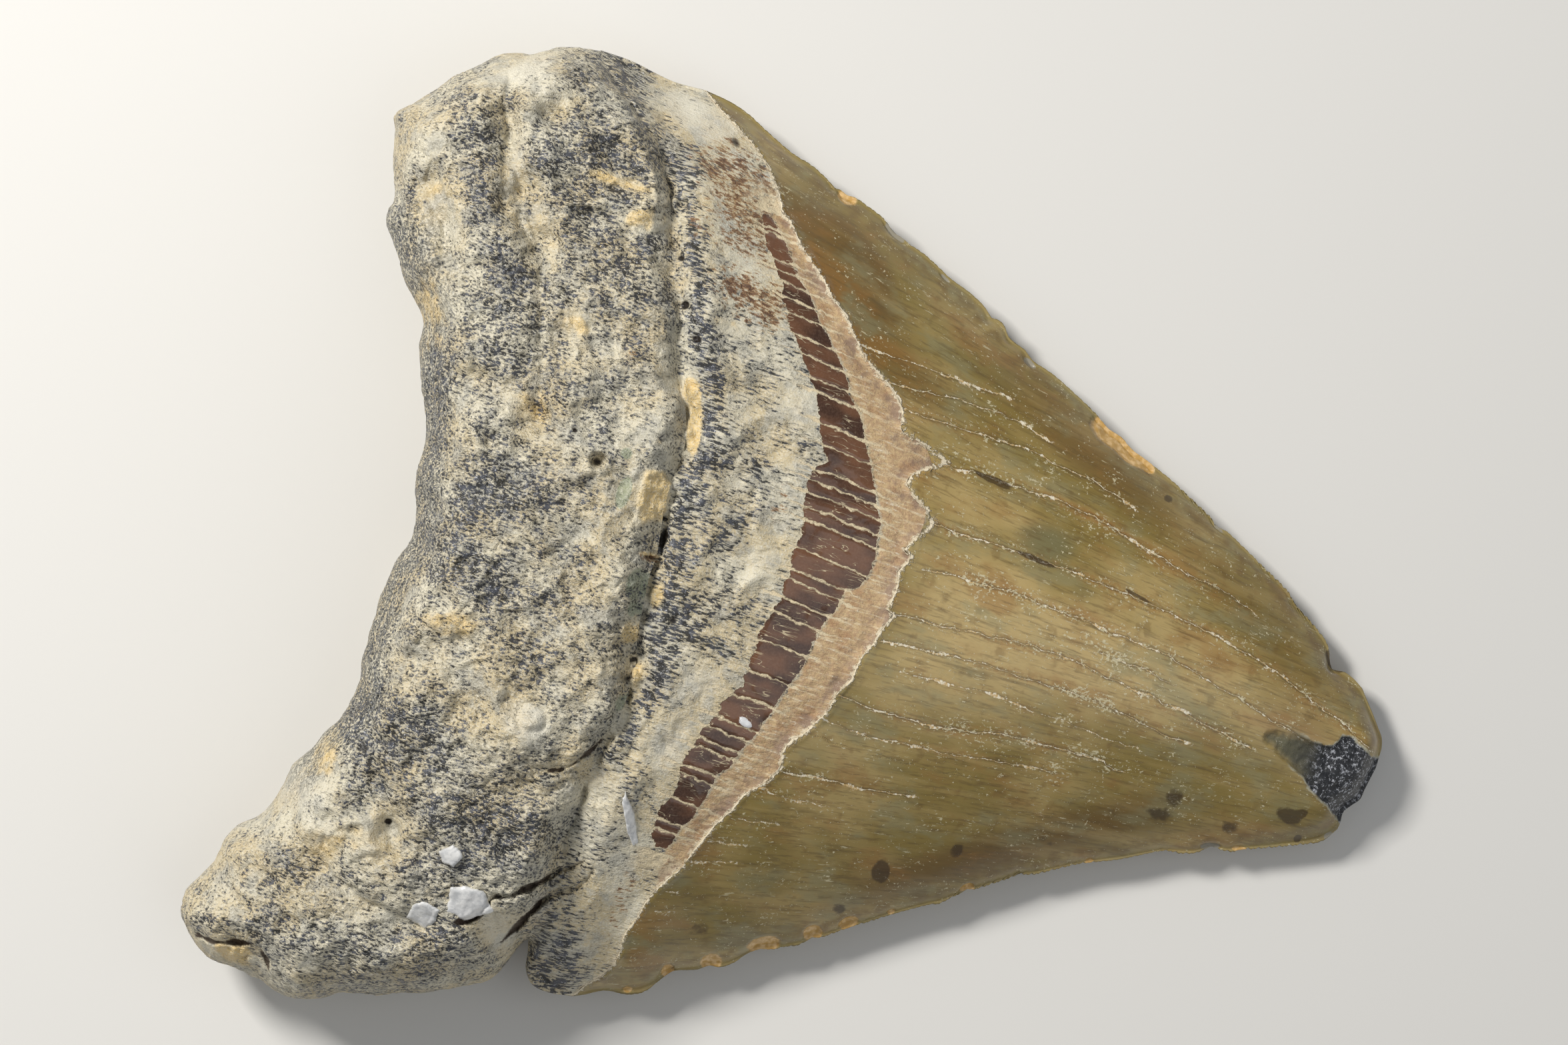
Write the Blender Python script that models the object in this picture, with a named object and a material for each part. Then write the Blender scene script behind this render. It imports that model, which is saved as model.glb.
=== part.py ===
# Fossil megalodon tooth, one solid, lying on its flat outer face. Metres, +Z up.
# X runs along the tooth to its tip and Y across it, with the bulging inner face upwards.
# Every length below is in millimetres; the mesh is turned to metres when it is made.

import math

import bmesh
import bpy
import numpy as np

MM = 0.001
COLLECTION = "fossil_megalodon_tooth"

# The outline, seen from above, as four sides that meet at four corners.
UPPER_LOBE_CORNER = (-58.9, 40.0)
LOWER_LOBE_CORNER = (-56.7, -47.1)
UPPER_NECK = (-31.0, 51.3)
LOWER_NECK = (-21.3, -39.4)
UPPER_TIP_CORNER = (55.4, 10.8)
LOWER_TIP_CORNER = (56.9, -4.9)

BASAL_MARGIN = (
    UPPER_LOBE_CORNER, (-58.9, 37.9), (-57.2, 33.0), (-56.8, 29.0), (-54.0, 24.4), (-50.3, 19.8),
    (-49.5, 16.2), (-46.7, 9.0), (-46.3, 5.0), (-44.9, -1.6), (-46.1, -8.0), (-46.0, -17.2),
    (-48.2, -25.4), (-50.6, -31.8), (-54.2, -37.0), (-56.4, -43.4), LOWER_LOBE_CORNER,
)
UPPER_LOBE_SIDE = (
    UPPER_LOBE_CORNER, (-55.1, 44.1), (-51.9, 47.1), (-46.6, 50.2), (-41.0, 52.1), (-36.5, 51.9), UPPER_NECK,
)
LOWER_LOBE_SIDE = (
    LOWER_LOBE_CORNER, (-52.5, -50.6), (-48.0, -51.0), (-43.8, -52.1), (-38.4, -50.1), (-31.9, -48.3),
    (-26.0, -45.8), (-23.2, -43.4), LOWER_NECK,
)
UPPER_EDGE = (
    UPPER_NECK, (-26.0, 51.0), (-17.9, 47.6), (-13.1, 45.5), (-5.1, 42.9), (5.0, 38.4), (12.2, 34.0),
    (20.2, 30.6), (23.4, 29.0), (26.7, 27.4), (34.3, 23.9), (42.0, 20.0), (48.1, 16.1), (51.4, 13.6),
    (51.3, 12.5), (53.0, 11.5), UPPER_TIP_CORNER,
)
LOWER_EDGE = (
    LOWER_NECK, (-20.6, -42.6), (-18.0, -44.2), (-14.0, -43.4), (-8.5, -41.7), (-5.7, -38.4), (0.0, -35.9),
    (4.6, -32.8), (12.5, -27.7), (20.5, -22.5), (26.0, -18.6), (34.0, -14.9), (40.0, -11.8), (46.0, -10.0),
    (52.1, -7.8), LOWER_TIP_CORNER,
)
TIP = (UPPER_TIP_CORNER, (57.3, 8.5), (59.0, 6.2), (59.3, 4.0), (58.7, 0.2), (57.5, -2.2), LOWER_TIP_CORNER)

# Lines across the inner face: where the thick root ends, and where the enamel begins.
ROOT_LEDGE = (
    (-40.4, 51.2), (-35.7, 47.5), (-31.9, 44.0), (-29.2, 39.6), (-28.0, 35.6), (-26.5, 31.0), (-23.6, 25.0),
    (-20.6, 18.5), (-20.4, 8.0), (-20.0, 0.0), (-18.8, -9.0), (-19.4, -18.0), (-20.6, -28.0), (-21.3, -39.4),
)
ENAMEL_LINE = (
    (-28.8, 51.4), (-22.2, 47.0), (-17.3, 40.9), (-11.0, 35.1), (-5.8, 29.8), (0.0, 25.4), (2.9, 20.0),
    (4.8, 13.0), (4.9, 6.0), (3.2, -2.0), (0.4, -9.5), (-1.4, -14.5), (-4.6, -19.0), (-8.0, -26.8),
    (-11.0, -33.5), (-12.2, -39.5), (-14.6, -42.8),
)

# Heights above the surface that the tooth lies on.
ROOT_RIM_HEIGHT = 8.6
ROOT_TOP_HEIGHT = 27.2
LOBE_TOP_HEIGHT = 20.6
CUTTING_EDGE_HEIGHT = 5.4
TIP_EDGE_HEIGHT = 3.6
CROWN_BASE_HEIGHT = 23.4
CROWN_TIP_HEIGHT = 7.0
UNDERSIDE_HOLLOW = 2.6
PAD_CLIP = 0.5

# How fast the rims round over, measured in plan from the outline.
ROOT_ROUNDING = 6.5
TIP_ROUNDING = 2.2
UNDERSIDE_ROUNDING = 9.0

# Relief of the inner face.
GROOVE_DEPTH = 1.5
GROOVE_HALF_WIDTH = 1.7
COLLAR_RIDGE = 0.5
ENAMEL_STEP = 0.45
LUMP_HEIGHT = 0.55
VALLEY_DEPTH = 1.1
VALLEY_HALF_WIDTH = 1.9
VALLEYS = (
    ((-46.5, 41.0), (-42.0, 32.5), (-38.5, 28.0), (-36.0, 19.5), (-35.0, 14.0)),
    ((-48.0, 46.0), (-47.0, 43.0), (-45.5, 38.0)),
    ((-52.0, 33.0), (-50.0, 30.0), (-48.0, 26.0)),
    ((-43.0, -20.0), (-40.0, -27.0), (-36.0, -33.0)),
    ((-45.0, -36.0), (-38.0, -39.0), (-31.0, -40.0)),
)
BOSS_CENTRE = (-27.5, -17.0)
BOSS_HEIGHT = 1.3
BOSS_RADIUS = 4.5

# Crevices and pits cut into the root: a route or a place, with a radius.
CREVICES = (
    ("crevice_a", 0.75, ((-29.5, -40.2), (-27.5, -39.0), (-26.0, -36.6), (-24.0, -35.4), (-21.9, -32.8))),
    ("crevice_b", 0.85, ((-23.9, -40.9), (-22.2, -37.6), (-20.4, -34.4), (-18.1, -33.0), (-16.5, -30.0))),
    ("lobe_crack", 0.60, ((-55.0, -48.8), (-52.0, -48.9), (-49.5, -48.3), (-48.3, -48.4), (-45.9, -51.2))),
)
CREVICE_SINK = 0.15
PITS = (
    ("nutrient_pit", (-28.5, 10.8), 1.1, 3.0),
    ("small_pit", (-31.8, 13.2), 0.55, 1.6),
    ("lobe_pit", (-39.0, -31.9), 0.6, 1.6),
)

# Grid of the two faces.
COLUMNS = 44
ROOT_ROWS = 18
CROWN_ROWS = 33


def smoothstep(value, low, high):
    share = np.clip((value - low) / (high - low), 0.0, 1.0)
    return share * share * (3.0 - 2.0 * share)


def smooth_curve(points, steps=10):
    # A Catmull-Rom curve through the points, as a dense polyline.
    knots = np.array(points, dtype=float)
    before = np.vstack([2.0 * knots[0] - knots[1], knots[:-2]])
    after = np.vstack([knots[2:], 2.0 * knots[-1] - knots[-2]])
    share = (np.arange(steps) / steps)[None, :, None]
    start = knots[:-1, None, :]
    end = knots[1:, None, :]
    bend_in = (end - before[:, None, :]) / 2.0
    bend_out = (after[:, None, :] - start) / 2.0
    cubic = 2.0 * start - 2.0 * end + bend_in + bend_out
    square = -3.0 * start + 3.0 * end - 2.0 * bend_in - bend_out
    curve = start + share * (bend_in + share * (square + share * cubic))
    return np.vstack([curve.reshape(-1, 2), knots[-1:]])


def points_along(points, fractions):
    # The points at the given fractions of the length of the smooth curve.
    curve = smooth_curve(points)
    lengths = np.concatenate([[0.0], np.cumsum(np.linalg.norm(np.diff(curve, axis=0), axis=1))])
    wanted = np.asarray(fractions) * lengths[-1]
    return np.column_stack([np.interp(wanted, lengths, curve[:, axis]) for axis in (0, 1)])


def distance_to(x, y, line):
    # Distance in plan from every point to a polyline.
    nearest = np.full(x.shape, 1e9)
    for (ax, ay), (bx, by) in zip(line[:-1], line[1:]):
        dx = bx - ax
        dy = by - ay
        share = np.clip(((x - ax) * dx + (y - ay) * dy) / (dx * dx + dy * dy), 0.0, 1.0)
        nearest = np.minimum(nearest, np.hypot(x - ax - share * dx, y - ay - share * dy))
    return nearest


def outline():
    sides = (BASAL_MARGIN, LOWER_LOBE_SIDE, LOWER_EDGE, TIP[::-1], UPPER_EDGE[::-1], UPPER_LOBE_SIDE[::-1])
    return np.vstack([smooth_curve(side, 4)[:-1] for side in sides] + [np.array([UPPER_LOBE_CORNER])])


def line_x(y, line):
    # The place along X of a line that crosses the tooth, at each Y.
    curve = smooth_curve(line)[::-1]
    return np.interp(y, curve[:, 1], curve[:, 0])


def crown_half_width(x, y):
    # Share of the way in from the nearer cutting edge to the middle, 0 to 1, and the half width.
    upper = smooth_curve(UPPER_EDGE)
    lower = smooth_curve(LOWER_EDGE)
    top = np.interp(x, upper[:, 0], upper[:, 1])
    bottom = np.interp(x, lower[:, 0], lower[:, 1])
    half = (top - bottom) / 2.0
    inward = 1.0 - np.abs(y - (top + bottom) / 2.0) / half
    return np.clip(inward, 0.0, 1.0), half


def rim_height(x, past_ledge):
    along = np.clip((x + 20.0) / 79.0, 0.0, 1.0)
    edge = CUTTING_EDGE_HEIGHT + (TIP_EDGE_HEIGHT - CUTTING_EDGE_HEIGHT) * along
    return ROOT_RIM_HEIGHT + (edge - ROOT_RIM_HEIGHT) * smoothstep(past_ledge, -3.0, 9.0)


def root_top(x, y, past_ledge):
    # The domed root: high in the middle, lower along the lobes and towards their ledges.
    sideways = np.abs(y - 1.0) / 46.0
    top = ROOT_TOP_HEIGHT + (LOBE_TOP_HEIGHT - ROOT_TOP_HEIGHT) * sideways ** 1.6
    top -= 3.2 * sideways ** 2 * smoothstep(past_ledge, -16.0, 0.0)
    top -= 2.2 * smoothstep(past_ledge, -18.0, -27.0)
    top += BOSS_HEIGHT * np.exp(-((x - BOSS_CENTRE[0]) ** 2 + (y - BOSS_CENTRE[1]) ** 2) / BOSS_RADIUS ** 2)
    top += LUMP_HEIGHT * np.sin(0.52 * x + 1.4 * np.sin(0.21 * y)) * np.sin(0.43 * y + 0.8)
    for valley in VALLEYS:
        top -= VALLEY_DEPTH * np.exp(-(distance_to(x, y, valley) / VALLEY_HALF_WIDTH) ** 2)
    return top


def crown_top(x, inward):
    # A lens across the crown, full near the neck and slimmer to the tip.
    along = np.clip((x + 20.0) / 79.0, 0.0, 1.0)
    middle = CROWN_BASE_HEIGHT + (CROWN_TIP_HEIGHT - CROWN_BASE_HEIGHT) * along ** 1.15
    power = 3.4 - 1.5 * smoothstep(x, -30.0, 12.0)
    return middle, 1.0 - (1.0 - inward) ** power


def faces_heights(x, y):
    # Heights of the inner face, which is up, and of the outer face, which lies down.
    border = outline()
    inside = distance_to(x, y, border)
    past_ledge = x - line_x(y, ROOT_LEDGE)
    past_enamel = x - line_x(y, ENAMEL_LINE)
    inward, half = crown_half_width(x, y)
    rim = rim_height(x, past_ledge)

    root_round = (1.0 - (1.0 - np.clip(inside / ROOT_ROUNDING, 0.0, 1.0)) ** 2.2) ** 0.75
    root = rim + (root_top(x, y, past_ledge) - rim) * root_round
    middle, lens = crown_top(x, inward)
    tip_share = smoothstep(x, 45.0, 55.0)
    tip_edge = tip_share * (1.0 - np.clip(inside / TIP_ROUNDING, 0.0, 1.0)) ** 2
    crown = rim + (middle - rim) * lens * (1.0 - tip_edge)
    top = root + (crown - root) * smoothstep(past_ledge, -2.5, 3.5)

    central = smoothstep(inside, 3.0, 12.0)
    top -= GROOVE_DEPTH * central * np.exp(-((past_ledge - 0.6) / GROOVE_HALF_WIDTH) ** 2)
    top += COLLAR_RIDGE * central * np.exp(-((past_ledge - 4.4) / GROOVE_HALF_WIDTH) ** 2)
    top += ENAMEL_STEP * smoothstep(inside, 0.3, 4.0) * smoothstep(past_enamel, -1.2, 0.6)

    under_root = (1.0 - np.clip(inside / UNDERSIDE_ROUNDING, 0.0, 1.0)) ** 2.2
    under_crown = np.maximum((1.0 - inward) ** 2.6, tip_edge)
    blend = smoothstep(past_ledge, -3.0, 9.0)
    under = rim * (under_root + (under_crown - under_root) * blend)
    hollow = np.exp(-((x + 21.0) / 17.0) ** 2 - (y / 24.0) ** 2)
    under += UNDERSIDE_HOLLOW * hollow * smoothstep(inside, 0.0, 8.0)
    under += 1.4 * smoothstep(x, 36.0, 60.0)
    bottom = np.maximum(under - PAD_CLIP, 0.0)
    bottom = np.where(inside < 0.02, rim, bottom)
    return top, bottom, rim


def patch(start, end, left, right):
    # A Coons patch: rows run from the start line to the end line between the two sides.
    across = np.linspace(0.0, 1.0, len(start))[None, :, None]
    along = np.linspace(0.0, 1.0, len(left))[:, None, None]
    ruled = (1.0 - along) * start[None] + along * end[None]
    sided = (1.0 - across) * left[:, None] + across * right[:, None]
    corners = (1.0 - along) * ((1.0 - across) * start[0] + across * start[-1])
    corners = corners + along * ((1.0 - across) * end[0] + across * end[-1])
    return ruled + sided - corners


def plan_grid():
    # Rows from the basal margin to the tip, each from the upper side to the lower side.
    even = np.linspace(0.0, 1.0, COLUMNS + 1)
    across = 0.55 * even + 0.45 * (1.0 - np.cos(np.pi * even)) / 2.0
    rows = np.linspace(0.0, 1.0, ROOT_ROWS + 1)
    root_rows = 0.45 * rows + 0.55 * rows ** 2
    rows = np.linspace(0.0, 1.0, CROWN_ROWS + 1)
    crown_rows = 0.65 * rows + 0.35 * np.sin(np.pi * rows / 2.0)
    neck_line = (UPPER_NECK,) + tuple(point for point in ROOT_LEDGE if -38.0 < point[1] < 42.0) + (LOWER_NECK,)
    neck = points_along(neck_line, across)
    root = patch(
        points_along(BASAL_MARGIN, across), neck,
        points_along(UPPER_LOBE_SIDE, root_rows), points_along(LOWER_LOBE_SIDE, root_rows),
    )
    crown = patch(
        neck, points_along(TIP, across),
        points_along(UPPER_EDGE, crown_rows), points_along(LOWER_EDGE, crown_rows),
    )
    grid = np.vstack([root, crown[1:]])
    centre = (grid.reshape(-1, 2).min(axis=0) + grid.reshape(-1, 2).max(axis=0)) / 2.0
    return grid, centre


def tooth_mesh():
    # Two sheets over one plan grid, sewn together along the outline.
    grid, centre = plan_grid()
    rows, columns = grid.shape[:2]
    x = grid[..., 0]
    y = grid[..., 1]
    top, bottom, rim = faces_heights(x, y)
    on_rim = np.zeros((rows, columns), dtype=bool)
    on_rim[[0, -1], :] = True
    on_rim[:, [0, -1]] = True
    top = np.where(on_rim, rim, np.maximum(top, rim + 0.3))
    bottom = np.where(on_rim, rim, np.minimum(bottom, rim - 0.3))

    mesh = bmesh.new()
    upper = {}
    lower = {}
    for row in range(rows):
        for column in range(columns):
            place = ((x[row, column] - centre[0]) * MM, (y[row, column] - centre[1]) * MM)
            upper[row, column] = mesh.verts.new((*place, top[row, column] * MM))
            if on_rim[row, column]:
                lower[row, column] = upper[row, column]
            else:
                lower[row, column] = mesh.verts.new((*place, bottom[row, column] * MM))
    for row in range(rows - 1):
        for column in range(columns - 1):
            corners = [(row, column), (row, column + 1), (row + 1, column + 1), (row + 1, column)]
            mesh.faces.new([upper[corner] for corner in corners])
            mesh.faces.new([lower[corner] for corner in reversed(corners)])
    bmesh.ops.recalc_face_normals(mesh, faces=mesh.faces)
    data = bpy.data.meshes.new("tooth")
    mesh.to_mesh(data)
    mesh.free()
    return data, centre


def fossil_material():
    material = bpy.data.materials.new("fossil_tooth")
    material.use_nodes = True
    shader = material.node_tree.nodes["Principled BSDF"]
    shader.inputs["Base Color"].default_value = (0.30, 0.25, 0.17, 1.0)
    shader.inputs["Roughness"].default_value = 0.45
    shader.inputs["Metallic"].default_value = 0.0
    material.diffuse_color = (0.30, 0.25, 0.17, 1.0)
    return material


def surface_height(points):
    places = np.array(points, dtype=float)
    return faces_heights(places[:, 0], places[:, 1])[0]


def crevice_cutter(name, radius, route, centre, collection):
    # A thin tube laid along the surface, which leaves a groove when it is cut away.
    heights = surface_height(route)
    curve = bpy.data.curves.new(name, "CURVE")
    curve.dimensions = "3D"
    curve.bevel_depth = radius * MM
    curve.bevel_resolution = 2
    curve.use_fill_caps = True
    spline = curve.splines.new("POLY")
    spline.points.add(len(route) - 1)
    for point, (x, y), z in zip(spline.points, route, heights):
        point.co = ((x - centre[0]) * MM, (y - centre[1]) * MM, (z - CREVICE_SINK) * MM, 1.0)
    tube = bpy.data.objects.new(name + "_route", curve)
    collection.objects.link(tube)
    graph = bpy.context.evaluated_depsgraph_get()
    data = bpy.data.meshes.new_from_object(tube.evaluated_get(graph))
    data.name = name
    bpy.data.objects.remove(tube)
    mesh = bmesh.new()
    mesh.from_mesh(data)
    bmesh.ops.remove_doubles(mesh, verts=mesh.verts, dist=0.01 * MM)
    bmesh.ops.recalc_face_normals(mesh, faces=mesh.faces)
    mesh.to_mesh(data)
    mesh.free()
    cutter = bpy.data.objects.new(name, data)
    collection.objects.link(cutter)
    return cutter


def pit_cutter(name, place, radius, depth, centre, collection):
    # A blunt cone, point down, that reaches from above the surface to the pit's floor.
    height = float(surface_height([place])[0])
    mesh = bmesh.new()
    bmesh.ops.create_cone(
        mesh, cap_ends=True, segments=12, radius1=0.5 * radius * MM, radius2=1.5 * radius * MM, depth=2.0 * depth * MM
    )
    data = bpy.data.meshes.new(name)
    mesh.to_mesh(data)
    mesh.free()
    cutter = bpy.data.objects.new(name, data)
    cutter.location = ((place[0] - centre[0]) * MM, (place[1] - centre[1]) * MM, height * MM)
    collection.objects.link(cutter)
    return cutter


def new_collection(name):
    collection = bpy.data.collections.new(name)
    bpy.context.scene.collection.children.link(collection)
    return collection


def build():
    for item in list(bpy.data.objects):
        bpy.data.objects.remove(item)
    parts = new_collection(COLLECTION)
    cutters = new_collection("cutters")
    data, centre = tooth_mesh()
    tooth = bpy.data.objects.new("tooth", data)
    tooth.data.materials.append(fossil_material())
    parts.objects.link(tooth)
    tools = [crevice_cutter(name, radius, route, centre, cutters) for name, radius, route in CREVICES]
    tools += [pit_cutter(name, place, radius, depth, centre, cutters) for name, place, radius, depth in PITS]
    for tool in tools:
        cut = tooth.modifiers.new(tool.name, "BOOLEAN")
        cut.operation = "DIFFERENCE"
        cut.object = tool
        tool.hide_viewport = True
        tool.hide_render = True
    return tooth


build()
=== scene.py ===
import math

import bpy
import numpy as np
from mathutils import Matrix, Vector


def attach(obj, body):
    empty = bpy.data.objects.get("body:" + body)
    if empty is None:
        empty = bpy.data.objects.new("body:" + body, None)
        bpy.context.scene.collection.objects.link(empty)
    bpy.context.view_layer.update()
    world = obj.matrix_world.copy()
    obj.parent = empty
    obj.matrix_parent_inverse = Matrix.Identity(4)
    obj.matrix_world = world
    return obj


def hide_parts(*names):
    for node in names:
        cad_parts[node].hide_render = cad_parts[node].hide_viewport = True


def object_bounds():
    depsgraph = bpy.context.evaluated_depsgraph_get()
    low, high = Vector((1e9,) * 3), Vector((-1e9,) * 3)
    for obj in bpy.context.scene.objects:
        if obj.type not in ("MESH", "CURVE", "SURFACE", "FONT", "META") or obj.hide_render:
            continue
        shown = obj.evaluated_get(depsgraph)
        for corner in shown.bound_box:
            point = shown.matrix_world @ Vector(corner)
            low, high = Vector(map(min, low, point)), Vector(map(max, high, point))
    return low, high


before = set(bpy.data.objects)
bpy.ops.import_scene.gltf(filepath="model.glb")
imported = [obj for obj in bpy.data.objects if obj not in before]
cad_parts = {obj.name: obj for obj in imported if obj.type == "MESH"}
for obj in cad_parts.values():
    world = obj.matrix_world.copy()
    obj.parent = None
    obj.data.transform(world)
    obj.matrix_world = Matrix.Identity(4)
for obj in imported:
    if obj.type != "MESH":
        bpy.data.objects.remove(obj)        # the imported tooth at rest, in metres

cadBox = [[float(value) for value in corner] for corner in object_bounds()]
mm = 0.001

# Lines of the tooth in millimetres, read as seen from above: +X to the tip, +Y to the upper lobe.
# The four sides of the outline run from the root's corners to the tip.
outlineLines = {
    "basal": [
        (-58.9, 39.7), (-59.1, 39), (-58.7, 38.1), (-58.2, 36.2), (-57.6, 33.7), (-56.8, 31.8),
        (-56.6, 30.5), (-56.9, 29.9), (-56.7, 28.3), (-55.9, 27.1), (-54.5, 25.2), (-52.9, 22.7),
        (-50.7, 20.5), (-49.9, 18.9), (-49.8, 17.1), (-49, 14.9), (-48.2, 12.7), (-47.1, 10.2),
        (-46.3, 7.6), (-46.4, 5.1), (-45.9, 2.5), (-45.1, 0.3), (-44.8, -2.2), (-45.4, -4), (-45.9, -6.2),
        (-46.2, -9.4), (-46.2, -15.9), (-45.8, -18), (-46.5, -22.1), (-47.7, -24.3), (-48.7, -26.5),
        (-49.9, -28.4), (-50.2, -29.9), (-50.7, -32.1), (-51.8, -34.6), (-53.8, -36.4), (-54.7, -38.1),
        (-55, -40.3), (-56.2, -42.8), (-57, -44.4), (-57, -46.1), (-56.7, -47),
    ],
    "upperLobe": [
        (-58.9, 39.7), (-58.5, 40.3), (-57, 41.8), (-55.1, 44), (-54, 45.4), (-52, 47), (-49.9, 49),
        (-47.3, 49.7), (-46, 50.4), (-44.1, 51.5), (-41.9, 51.9), (-40.4, 52.1),
    ],
    "lowerLobe": [
        (-56.7, -47), (-56.2, -47.7), (-54.5, -49.4), (-52.3, -50.7), (-49.5, -50.8), (-46.3, -51.4),
        (-44, -52.1), (-42, -51.9), (-40, -51.1), (-38.2, -50), (-35.3, -49.5), (-31.9, -48.3),
        (-28.8, -47.2), (-26.3, -45.9), (-23.9, -44.4), (-22.8, -42.5), (-22, -40.3), (-21.2, -39.3),
    ],
    "upperNeck": [(-40.4, 52.1), (-36.9, 52), (-33.8, 51.5), (-31.9, 51.3), (-28.8, 51.4)],
    "lowerNeck": [
        (-21.2, -39.3), (-20.9, -40.6), (-20.6, -42.3), (-19.5, -43.7), (-17.6, -44.1), (-15.2, -43.9),
    ],
    "upperEdge": [
        (-28.8, 51.4), (-26, 51), (-23.7, 50.3), (-21.9, 49.4), (-19.8, 48.4), (-17.9, 47.6), (-15.7, 47),
        (-13.5, 45.9), (-13.1, 45.5), (-11.3, 45.5), (-9.5, 44.8), (-7.3, 44), (-5.1, 42.9), (-3.8, 42.1),
        (-1.9, 41.5), (0, 40.6), (1.5, 39.8), (4, 38.9), (5.9, 37.9), (6.5, 37.1), (7.8, 37), (9, 36.2),
        (9.7, 35.4), (11.2, 34.8), (12.2, 34), (15, 33.1), (19, 31.2), (21.1, 30.2), (23, 29.4),
        (25, 28.5), (26.7, 27.4), (30.3, 25.9), (34.3, 23.9), (38.2, 22), (42, 20), (43.8, 19.1),
        (45.4, 18.1), (46, 17.3), (48.1, 16.1), (50, 14.8), (51.4, 13.7), (52.4, 12.7), (53.4, 11.9),
        (54.4, 11.4), (55.5, 10.7),
    ],
    "lowerEdge": [
        (-15.2, -43.9), (-14, -43.4), (-12, -42.4), (-9.9, -42.2), (-8.5, -41.7), (-7.6, -40.9),
        (-6.6, -39.3), (-5.7, -38.4), (-4, -37.8), (-1.9, -37.2), (0, -35.9), (1.2, -34.6), (3.1, -33.9),
        (4.6, -32.8), (6.2, -32.1), (7.8, -31), (10.9, -28.7), (12.5, -27.7), (15, -26), (18, -24.2),
        (19.2, -23.7), (20.5, -22.5), (24, -20.1), (25.7, -18.9), (26.2, -18.4), (28, -17.9), (32, -15.6),
        (36, -13.9), (40, -11.8), (42, -11.5), (43.8, -10.9), (45.2, -10.1), (47.2, -9.8), (48, -9.3),
        (50, -8.6), (54, -7), (56, -6), (57.2, -4.3),
    ],
    "tip": [
        (55.5, 10.7), (56.4, 9.6), (57.3, 8.5), (58.3, 7.2), (59, 6.2), (59.3, 4.9), (59.3, 3.4),
        (59.1, 2.2), (58.8, 0.6), (58.6, -0.6), (57.9, -1.5), (57.3, -2.4), (57.3, -3.6), (57.2, -4.3),
    ],
}
# Where the thick root ends in a groove, and where the enamel begins with its ragged edge.
ledgeLine = [
    (-40.4, 52.1), (-38.5, 48.7), (-35.7, 47.5), (-33.8, 45.6), (-31.9, 44), (-30.3, 41.5), (-29.2, 39.6),
    (-28.5, 37.4), (-28, 35.6), (-27.2, 33.1), (-26.5, 31), (-25.3, 29), (-24, 26), (-22.8, 22),
    (-21.2, 18.5), (-20.3, 15), (-20.6, 9), (-20, 4), (-20, 0), (-19.5, -5), (-18.7, -9), (-18.8, -14),
    (-19.6, -18), (-20.6, -24), (-21, -30), (-20.8, -35), (-21.2, -39.3),
]
enamelLine = [
    (-28.8, 51.4), (-26.6, 49.7), (-24.4, 48.4), (-22.2, 47), (-20.3, 45.5), (-18.7, 43.4), (-17.8, 41.9),
    (-17.3, 40.9), (-16, 40), (-14.5, 38.1), (-12.6, 36.5), (-11, 35.1), (-9.8, 33.7), (-7.9, 32.4),
    (-7.1, 31.3), (-5.8, 29.8), (-4.2, 28.3), (-2, 27), (-0.2, 25.7), (0.4, 24.5), (1, 22.6), (3.1, 22),
    (5, 21.4), (6.5, 20.8), (5.1, 20), (3.6, 19), (2.9, 17.8), (4, 16.5), (5.6, 15.7), (6.7, 14.4),
    (6.2, 13.5), (5, 11.9), (4.6, 10.9), (5.6, 10.4), (4.6, 8.8), (5, 7.2), (4.6, 4.7), (5.5, 4.1),
    (4.6, 2.5), (4.3, 1), (3.4, -0.9), (3.1, -3.4), (2.1, -5), (1.8, -6.9), (0.9, -8.4), (0, -10),
    (-1, -10.9), (-1.5, -12.3), (-1.2, -14), (-1.9, -15.5), (-3.2, -16.8), (-4.1, -17.7), (-4.8, -19.6),
    (-6, -21.5), (-6.6, -23), (-7.4, -24.9), (-8, -26.8), (-9.1, -28.4), (-9.9, -29.9), (-10.6, -31.5),
    (-11, -33.5), (-11.7, -35.3), (-11.7, -37.5), (-12, -39.3), (-12.9, -40.9), (-14.2, -42.3),
    (-15.2, -43.9),
]

# The photo's eye: the middle of its frame, its distance above the outline, and the outline's height.
eye = {"centre": (-7.98, 10.16), "distance": 457.3, "outlineHeight": 6}

# The solid form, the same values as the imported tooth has.
bodyForm = {
    "rootRim": 8.6, "rootTop": 27.2, "lobeTop": 20.6, "edgeHeight": 5.4, "tipEdgeHeight": 3.6,
    "crownBase": 23.4, "crownTip": 7, "underHollow": 2.6, "padClip": 0.5,
    "rootRounding": 6.5, "tipRounding": 2.2, "underRounding": 9, "edgeRounding": 0.5,
    "grooveDepth": 1.5, "grooveHalf": 1.7, "ridgeHeight": 0.5, "enamelStep": 0.45,
    "lumpHeight": 0.55, "valleyDepth": 1.1, "valleyHalf": 1.9,
    "lobeFall": 3.2, "basalFall": 2.2, "tipRise": 1.4, "hollowPlace": (-21, 17, 24),
    "boss": (-27.5, -17, 4.5, 1.3),
    "valleys": [
        [(-46.5, 41), (-42, 32.5), (-38.5, 28), (-36, 19.5), (-35, 14)],
        [(-48, 46), (-47, 43), (-45.5, 38)],
        [(-52, 33), (-50, 30), (-48, 26)],
        [(-43, -20), (-40, -27), (-36, -33)],
        [(-45, -36), (-38, -39), (-31, -40)],
    ],
}


# Numbers and curves


def smoothStep(value, low, high):
    # 3t^2 - 2t^3, where t runs from 0 at low to 1 at high
    share = np.clip((value - low) / (high - low), 0, 1)
    return share * share * (3 - 2 * share)


def bell(distance, half):
    # e to the power -(distance / half)^2
    return np.exp(-(distance / half) ** 2)


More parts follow.
